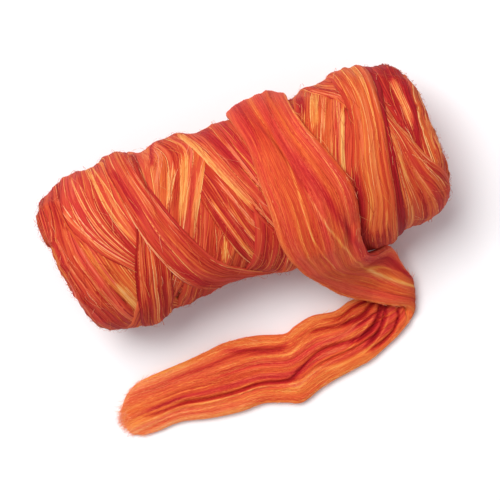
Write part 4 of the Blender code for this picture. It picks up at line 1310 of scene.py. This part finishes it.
def line_share(line, at, across, fade):
    """Share of a crease or stripe at each place: 1 along its middle, 0 well away from it."""
    place = smooth_line(at, line["rows"], line["places"])
    ahead = smooth_line(at + SLANT_STEP, line["rows"], line["places"])
    slant = (ahead - place) / SLANT_STEP
    away = (across - place) / (line["half_width"] * np.hypot(1.0, CREASE_SLANT * slant))
    return within(at, line["rows"][0], line["rows"][-1], fade) * np.exp(-away * away)


def crease_depth(at, across):
    """How deep the lengthwise creases cut the side that shows."""
    depth = np.zeros(np.broadcast(at, across).shape)
    for crease in CREASE_LINES:
        depth = np.maximum(depth, crease["depth"] * line_share(crease, at, across, CREASE_FADE))
    return depth


def loose_middle(at, across):
    """Point on the loose end's middle surface: round the roll first, then hanging and lying."""
    at, across = np.broadcast_arrays(at, across)
    share = (across + 1) / 2
    wrap_at = np.clip(at, 0.0, WRAP_ROWS - 1.0)
    degrees, left, right, thick = (smooth_column(WRAP, WRAP_COLUMNS, name, wrap_at) for name in WRAP_COLUMNS)
    x = left + (right - left) * share
    lift = CLEARANCE + bridging_lift(x, degrees) + thick * thickness_across(across) / 2
    free_at = np.clip(at - WRAP_ROWS, 0.0, len(FREE) - 1.0)
    free = [smooth_column(FREE, FREE_COLUMNS, name, free_at) for name in FREE_COLUMNS[:6]]
    left, right = np.stack(free[:3], axis=-1), np.stack(free[3:], axis=-1)
    hanging = left * (1 - share[..., None]) + right * share[..., None]
    free_share = smoothstep(at - WRAP_ROWS + 1)[..., None]
    return body_point(x, degrees, lift) * (1 - free_share) + hanging * free_share


def loose_thickness(at, across):
    """The sheet's thickness, tapering to its edges."""
    on_roll = smooth_column(WRAP, WRAP_COLUMNS, "thick", np.clip(at, 0.0, WRAP_ROWS - 1.0))
    free = smooth_column(FREE, FREE_COLUMNS, "thick", np.clip(at - WRAP_ROWS, 0.0, len(FREE) - 1.0))
    share = smoothstep(at - WRAP_ROWS + 1)
    return (on_roll * (1 - share) + free * share) * thickness_across(across)


class LooseEnd:
    """The loose last turn: its middle surface, ridges, creases and colours."""

    def __init__(self, rng):
        self.fibres = Fibres(rng)
        self.rows = np.arange(0.0, LAST_ROW + MIDDLE_STEP / 2, MIDDLE_STEP)
        self.columns = np.linspace(-1.0, 1.0, 41)
        self.middle = loose_middle(self.rows[:, None], self.columns[None, :])
        normal = unit(np.cross(np.gradient(self.middle, axis=0), np.gradient(self.middle, axis=1)))
        for _ in range(NORMAL_PASSES):
            padded = np.pad(normal, ((1, 1), (1, 1), (0, 0)), mode="edge")
            normal = padded[1:-1, 1:-1] * 2 + padded[:-2, 1:-1] + padded[2:, 1:-1]
            normal = unit(normal + padded[1:-1, :-2] + padded[1:-1, 2:])
        self.normal = normal
        centre = self.middle[:, len(self.columns) // 2]
        steps = np.linalg.norm(np.diff(centre, axis=0), axis=-1)
        run = np.concatenate(((0.0,), np.cumsum(steps)))
        self.run = run * LOOSE_LENGTH / run[-1]
        self.width = np.linalg.norm(self.middle[:, -1] - self.middle[:, 0], axis=-1)

    def read(self, grid, at, across):
        """A grid over rows and columns read at any place."""
        row = np.clip(at / MIDDLE_STEP, 0.0, len(self.rows) - 1.001)
        col = np.clip((across + 1) / 2 * (len(self.columns) - 1), 0.0, len(self.columns) - 1.001)
        r, c = row.astype(int), col.astype(int)
        return read_between(grid, (r, c), (r + 1, c + 1), ((row - r)[..., None], (col - c)[..., None]))


    def narrowed(self, at):
        """Width of the rounded tip, as a share of the width where it begins."""
        width = np.interp(at, self.rows, self.width)
        return np.where(at > TIP_ROW, width / np.interp(TIP_ROW, self.rows, self.width), 1.0)

    def shows(self, at, side):
        """Share of the detail on a side: it moves to the other side at the fold."""
        turned = smoothstep((at - TURN_ROW) / TURN_FADE + 0.5)
        return 1 - turned if side > 0 else turned

    def surface(self, at, across, side, lift=0.0):
        """Points on one side, with places along and across the fibres."""
        at, across, lift = np.broadcast_arrays(at, across, np.asarray(lift, float))
        along_mm = np.interp(at, self.rows, self.run)
        across_mm = across * self.narrowed(at) * LOOSE_WIDTH / 2 + self.fibres.wander(along_mm)
        ridge = self.fibres.relief(along_mm, across_mm)
        kept = np.sqrt(np.clip(1 - across**2, 0.0, 1.0)) * self.shows(at, side)
        depth = crease_depth(at, across) * self.shows(at, side)
        off = loose_thickness(at, across) / 2 + LOOSE_RELIEF * ridge * kept - depth + lift
        outward = side * off[..., None] * self.read(self.normal, at, across)
        points = self.read(self.middle, at, across) + outward
        points[..., 2] = np.maximum(points[..., 2], 0.0)
        return points, along_mm, across_mm, ridge, depth

    def ways(self, at, across):
        """Unit directions along the sheet and towards its edge of side 1."""
        ahead = self.read(self.middle, at + 0.15, across) - self.read(self.middle, at - 0.15, across)
        aside = self.read(self.middle, at, across + 0.05) - self.read(self.middle, at, across - 0.05)
        return unit(ahead), unit(aside)

    def colours(self, at, across, along_mm, across_mm, ridge, depth):
        """Tone and rose, golden at the edges, with the table's stripes, and painted shade in the creases."""
        tone = np.interp(at, TONE_ROWS, TONE_MIDDLE) + EDGE_GOLD * np.abs(across) ** 4
        rose = np.full(np.shape(tone), LOOSE_ROSE)
        for stripe in STRIPE_LINES:
            mask = STRIPE_SHARE * line_share(stripe, at, across, STRIPE_FADE)
            tone = tone + (stripe["tone"] - tone) * mask
            rose = rose + (stripe["rose"] - rose) * mask
        streaks = np.interp(at, STREAK_ROWS, STREAK_SHARES)
        # The creases' depth darkens the tone here: painted shade in the creases.
        tone = self.fibres.tone(along_mm, across_mm, ridge - 0.5 * depth, tone, streaks)
        return tone, self.fibres.rose(along_mm, across_mm, rose)


def loose_end(material):
    """The loose last turn as one closed sheet of combed fibre, ridged and pleated."""
    rng = np.random.default_rng(23)
    end = LooseEnd(rng)
    rows = np.interp(np.linspace(0.0, LOOSE_LENGTH, LOOSE_STATIONS), end.run, end.rows)[:, None]
    across = np.sin(np.linspace(-math.pi / 2, math.pi / 2, LOOSE_COLUMNS))[None, :]
    halves = []
    for side, kept in ((1, slice(0, None)), (-1, slice(1, -1))):
        points, along_mm, across_mm, ridge, depth = end.surface(rows, across * side, side)
        at = np.broadcast_to(rows, along_mm.shape)
        tone, rose = end.colours(at, across * side, along_mm, across_mm, ridge, depth)
        halves.append([part[:, kept] for part in (points, along_mm, across_mm, tone, rose)])
    sheet = Strips()
    sheet.add_closed(*(np.concatenate(parts, axis=1) for parts in zip(*halves)))
    piece = sheet.make("loose_end_fibre", material, "loose_end_wool", "loose_end")
    strands = Strips()
    loose_strands(strands, rng, end)
    loose_fuzz(strands, rng, end)
    painted_shade_corner_fibres(strands, rng, end)
    locks = strands.make("loose_end_locks", material, "loose_end_wool", "loose_end")


def loose_strands(strips, rng, end):
    """Thin locks, crimped fibres and raised hairs along the loose end."""
    for facing, count, covered, limits, widths, wave, height in LOOSE_STRANDS:
        one_each = (count, 1, 1)
        start = rng.uniform(limits[0], limits[1] - covered[0], one_each)
        stop = np.minimum(start + rng.uniform(*covered, one_each), limits[1])
        flat = wave > 0.05
        length = (stop - start) * LOOSE_LENGTH / LAST_ROW
        rows = max(8, int(np.max(length) / (CRIMP_STEP if wave > 0.1 else STRAND_STEP)))
        t = np.linspace(0.0, 1.0, rows)[None, :, None]
        at = start + (stop - start) * t
        from_w = rng.uniform(-0.97, 0.97, one_each)
        to_w = np.clip(from_w + rng.normal(0.0, 0.07, one_each), -0.97, 0.97)
        phase = rng.uniform(0.0, 2 * math.pi, one_each)
        waves = wave * np.sin(phase + 2 * math.pi * t * length / CRIMP_LENGTH) / (LOOSE_WIDTH / 2)
        middle = (from_w + (to_w - from_w) * t + waves) / end.narrowed(at)
        taper = np.clip(np.minimum(t, 1 - t) * STRAND_TAPER, 0.05, 1.0) * (np.abs(middle) < 0.99)
        half = rng.uniform(*widths, one_each) / 2 * taper
        side = np.array((-1.0, 1.0) if flat else (-1.0, 0.0, 1.0))[None, None, :]
        across = np.clip(np.clip(middle, -0.99, 0.99) + side * half / (LOOSE_WIDTH / 2), -1.0, 1.0)
        off = height * rng.uniform(0.0, 1.0, one_each) * 4 * t * (1 - t)
        crest = FINE_RISE if flat else np.where(side == 0, STRAND_RISE + STRAND_BULGE * half, -STRAND_SINK)
        points, along, aside, ridge, depth = end.surface(at, across, facing, off + crest)
        tone, rose = end.colours(np.broadcast_to(at, along.shape), across, along, aside, ridge, depth)
        own = np.interp(at, STREAK_ROWS, STREAK_SHARES) * mixed_tones(rng, count)[:, None, None]
        tone = np.clip(tone + own, 0.02, 0.98)
        rose = less_pink(np.clip(rose + rng.normal(0.0, 0.25, one_each), 0.0, 1.0), tone)
        shifted = rng.uniform(0.0, 300.0, one_each)
        strips.add_open(points, along + shifted, aside + shifted, tone, rose)


def loose_fuzz(strips, rng, end):
    """Short hairs that stand out from the loose end's edges and its brushed tip."""
    limits = ((3.0, LAST_ROW - 0.3), (TIP_ROW + 1.5, LAST_ROW))
    at = np.concatenate([rng.uniform(*rows, LOOSE_FUZZ // 2) for rows in limits])
    edge = rng.choice((-1.0, 1.0), LOOSE_FUZZ) * rng.uniform(0.80, 1.0, LOOSE_FUZZ)
    in_tip = at > TIP_ROW + 2.5
    across = np.where(in_tip, rng.uniform(-0.9, 0.9, LOOSE_FUZZ), edge)
    shown = (at > TURN_ROW)[:, None]
    base = np.where(shown, end.surface(at, across, -1)[0], end.surface(at, across, 1)[0])
    ahead, aside = end.ways(at, across)
    ahead = np.where(in_tip[:, None], ahead * 0.4 + np.array(TIP_HAIRS_POINT), ahead)
    turn_deg = (rng.normal(0.0, 34.0, LOOSE_FUZZ), rng.uniform(1.0, 15.0, LOOSE_FUZZ))
    turn = np.radians(np.where(in_tip, *turn_deg))
    onward = np.cos(turn) * np.where(in_tip, 1.0, rng.choice((-1.0, 1.0), LOOSE_FUZZ))
    outward = np.sin(turn) * np.where(in_tip, 1.0, np.sign(across))
    heading = ahead * onward[:, None] + aside * outward[:, None]
    heading[:, 2] += rng.uniform(-0.25, 0.15, LOOSE_FUZZ)
    level = np.cross(heading, (0.0, 0.0, 1.0))
    bend = level * rng.normal(0.0, np.where(in_tip, 0.5, 0.12)[:, None])
    length = np.where(in_tip, rng.uniform(1.5, 4.5, LOOSE_FUZZ), rng.uniform(2.5, 7.0, LOOSE_FUZZ))
    length = length[:, None, None]
    t = np.linspace(0.0, 1.0, 8)[None, :, None]
    path = base[:, None, :] + heading[:, None, :] * length * t + bend[:, None, :] * length * t * t
    path[..., 2] = np.maximum(path[..., 2], 0.15)
    half = rng.uniform(0.04, 0.08, (LOOSE_FUZZ, 1, 1)) * np.clip((1 - t) * 4.0, 0.1, 1.0)
    side = np.array((-1.0, 1.0))[None, None, :, None]
    points = path[:, :, None, :] + side * half[..., None] * unit(level)[:, None, None, :]
    tone = np.clip(rng.normal(0.76, 0.12, (LOOSE_FUZZ, 1, 1)), 0.1, 0.98)
    strips.add_open(points, length * t, 0.0, tone, rng.uniform(0.1, 0.7, (LOOSE_FUZZ, 1, 1)))


def painted_shade_corner_fibres(strips, rng, end):
    """Fibres past the loose end's edge, painted dark as shade, which close the corner beside the roll."""
    one_each = (CORNER_FIBRES, 1, 1)
    at = np.linspace(*CORNER_ROWS, 14)
    ones = np.ones_like(at)
    edge = end.surface(at, ones, 1)[0]
    aside = unit(end.read(end.middle, at, ones) - end.read(end.middle, at, 0.95 * ones))
    bow = np.sin(np.linspace(0.0, math.pi, len(at)))
    out = CORNER_REACH * rng.uniform(0.0, 1.0, (CORNER_FIBRES, 1)) * bow
    path = edge + aside * out[..., None]
    path[..., 2] -= rng.uniform(0.0, 1.5, (CORNER_FIBRES, 1)) * bow
    side = np.array((-0.1, 0.1))[None, None, :, None]
    points = path[:, :, None, :] + side * aside[None, :, None, :]
    # Their dark tone is painted shade in the corner beside the roll.
    tone = np.clip(rng.normal(0.24, 0.10, one_each), 0.05, 0.9)
    along = np.linspace(0.0, 12.0, len(at))[None, :, None] + rng.uniform(0.0, 40.0, one_each)
    strips.add_open(points, along, 0.0, tone, rng.uniform(0.3, 0.9, one_each))


# ---- camera, floor and light ----

FLOOR_SIZE = 6.0            # in metres, as are the light's size and places
KEY_SIZE = 1.75
KEY_PLACE = (-0.69, 1.28, 3.35)
KEY_AIM = (0.0, 0.0, 0.04)
KEY_ENERGY = 116.0
FLOOR_COLOUR = (0.92, 0.92, 0.92, 1.0)
SKY_COLOUR = (1.0, 0.955, 1.0, 1.0)
SKY_STRENGTH = 0.475


def set_camera():
    """Camera above the roll, with the photograph's frame and turn."""
    data = bpy.data.cameras.new("camera")
    data.sensor_width = SENSOR_WIDTH
    data.lens = SENSOR_WIDTH * CAMERA_HEIGHT / (IMAGE_PIXELS * MM_PER_PIXEL)
    camera = bpy.data.objects.new("camera", data)
    bpy.context.scene.collection.objects.link(camera)
    place = Vector((CAMERA_X, CAMERA_Y, AXIS_HEIGHT + CAMERA_HEIGHT)) * MM
    camera.matrix_world = Matrix.Translation(place) @ Matrix.Rotation(math.radians(CAMERA_TURN_DEG), 4, "Z")
    bpy.context.scene.camera = camera


def set_stage():
    """White floor, soft key light from the back left and an even sky."""
    bpy.ops.mesh.primitive_plane_add(size=FLOOR_SIZE, location=(0, 0, 0))
    floor = bpy.context.object
    floor.name = "floor"
    finish = bpy.data.materials.new("floor_white")
    finish.use_nodes = True
    shader = finish.node_tree.nodes["Principled BSDF"]
    shader.inputs["Base Color"].default_value = FLOOR_COLOUR
    shader.inputs["Roughness"].default_value = 0.9
    floor.data.materials.append(finish)
    world = bpy.data.worlds.new("studio")
    bpy.context.scene.world = world
    world.use_nodes = True
    sky = world.node_tree.nodes["Background"]
    sky.inputs["Color"].default_value = SKY_COLOUR
    sky.inputs["Strength"].default_value = SKY_STRENGTH
    light = bpy.data.lights.new("key", "AREA")
    light.shape = "SQUARE"
    light.size = KEY_SIZE
    light.energy = KEY_ENERGY
    key = bpy.data.objects.new("key", light)
    key.location = Vector(KEY_PLACE)
    key.rotation_euler = (Vector(KEY_AIM) - key.location).to_track_quat("-Z", "Y").to_euler()
    bpy.context.scene.collection.objects.link(key)
    bpy.context.scene.view_settings.view_transform = "Standard"


set_camera()
set_stage()
wind_bands(wool_material("roll_wool_fibre", 1.0))
# The loose end's copy of the wool is painted lighter: painted light.
loose_end(wool_material("loose_end_wool_fibre", LOOSE_PAINTED_LIGHT_GAIN))
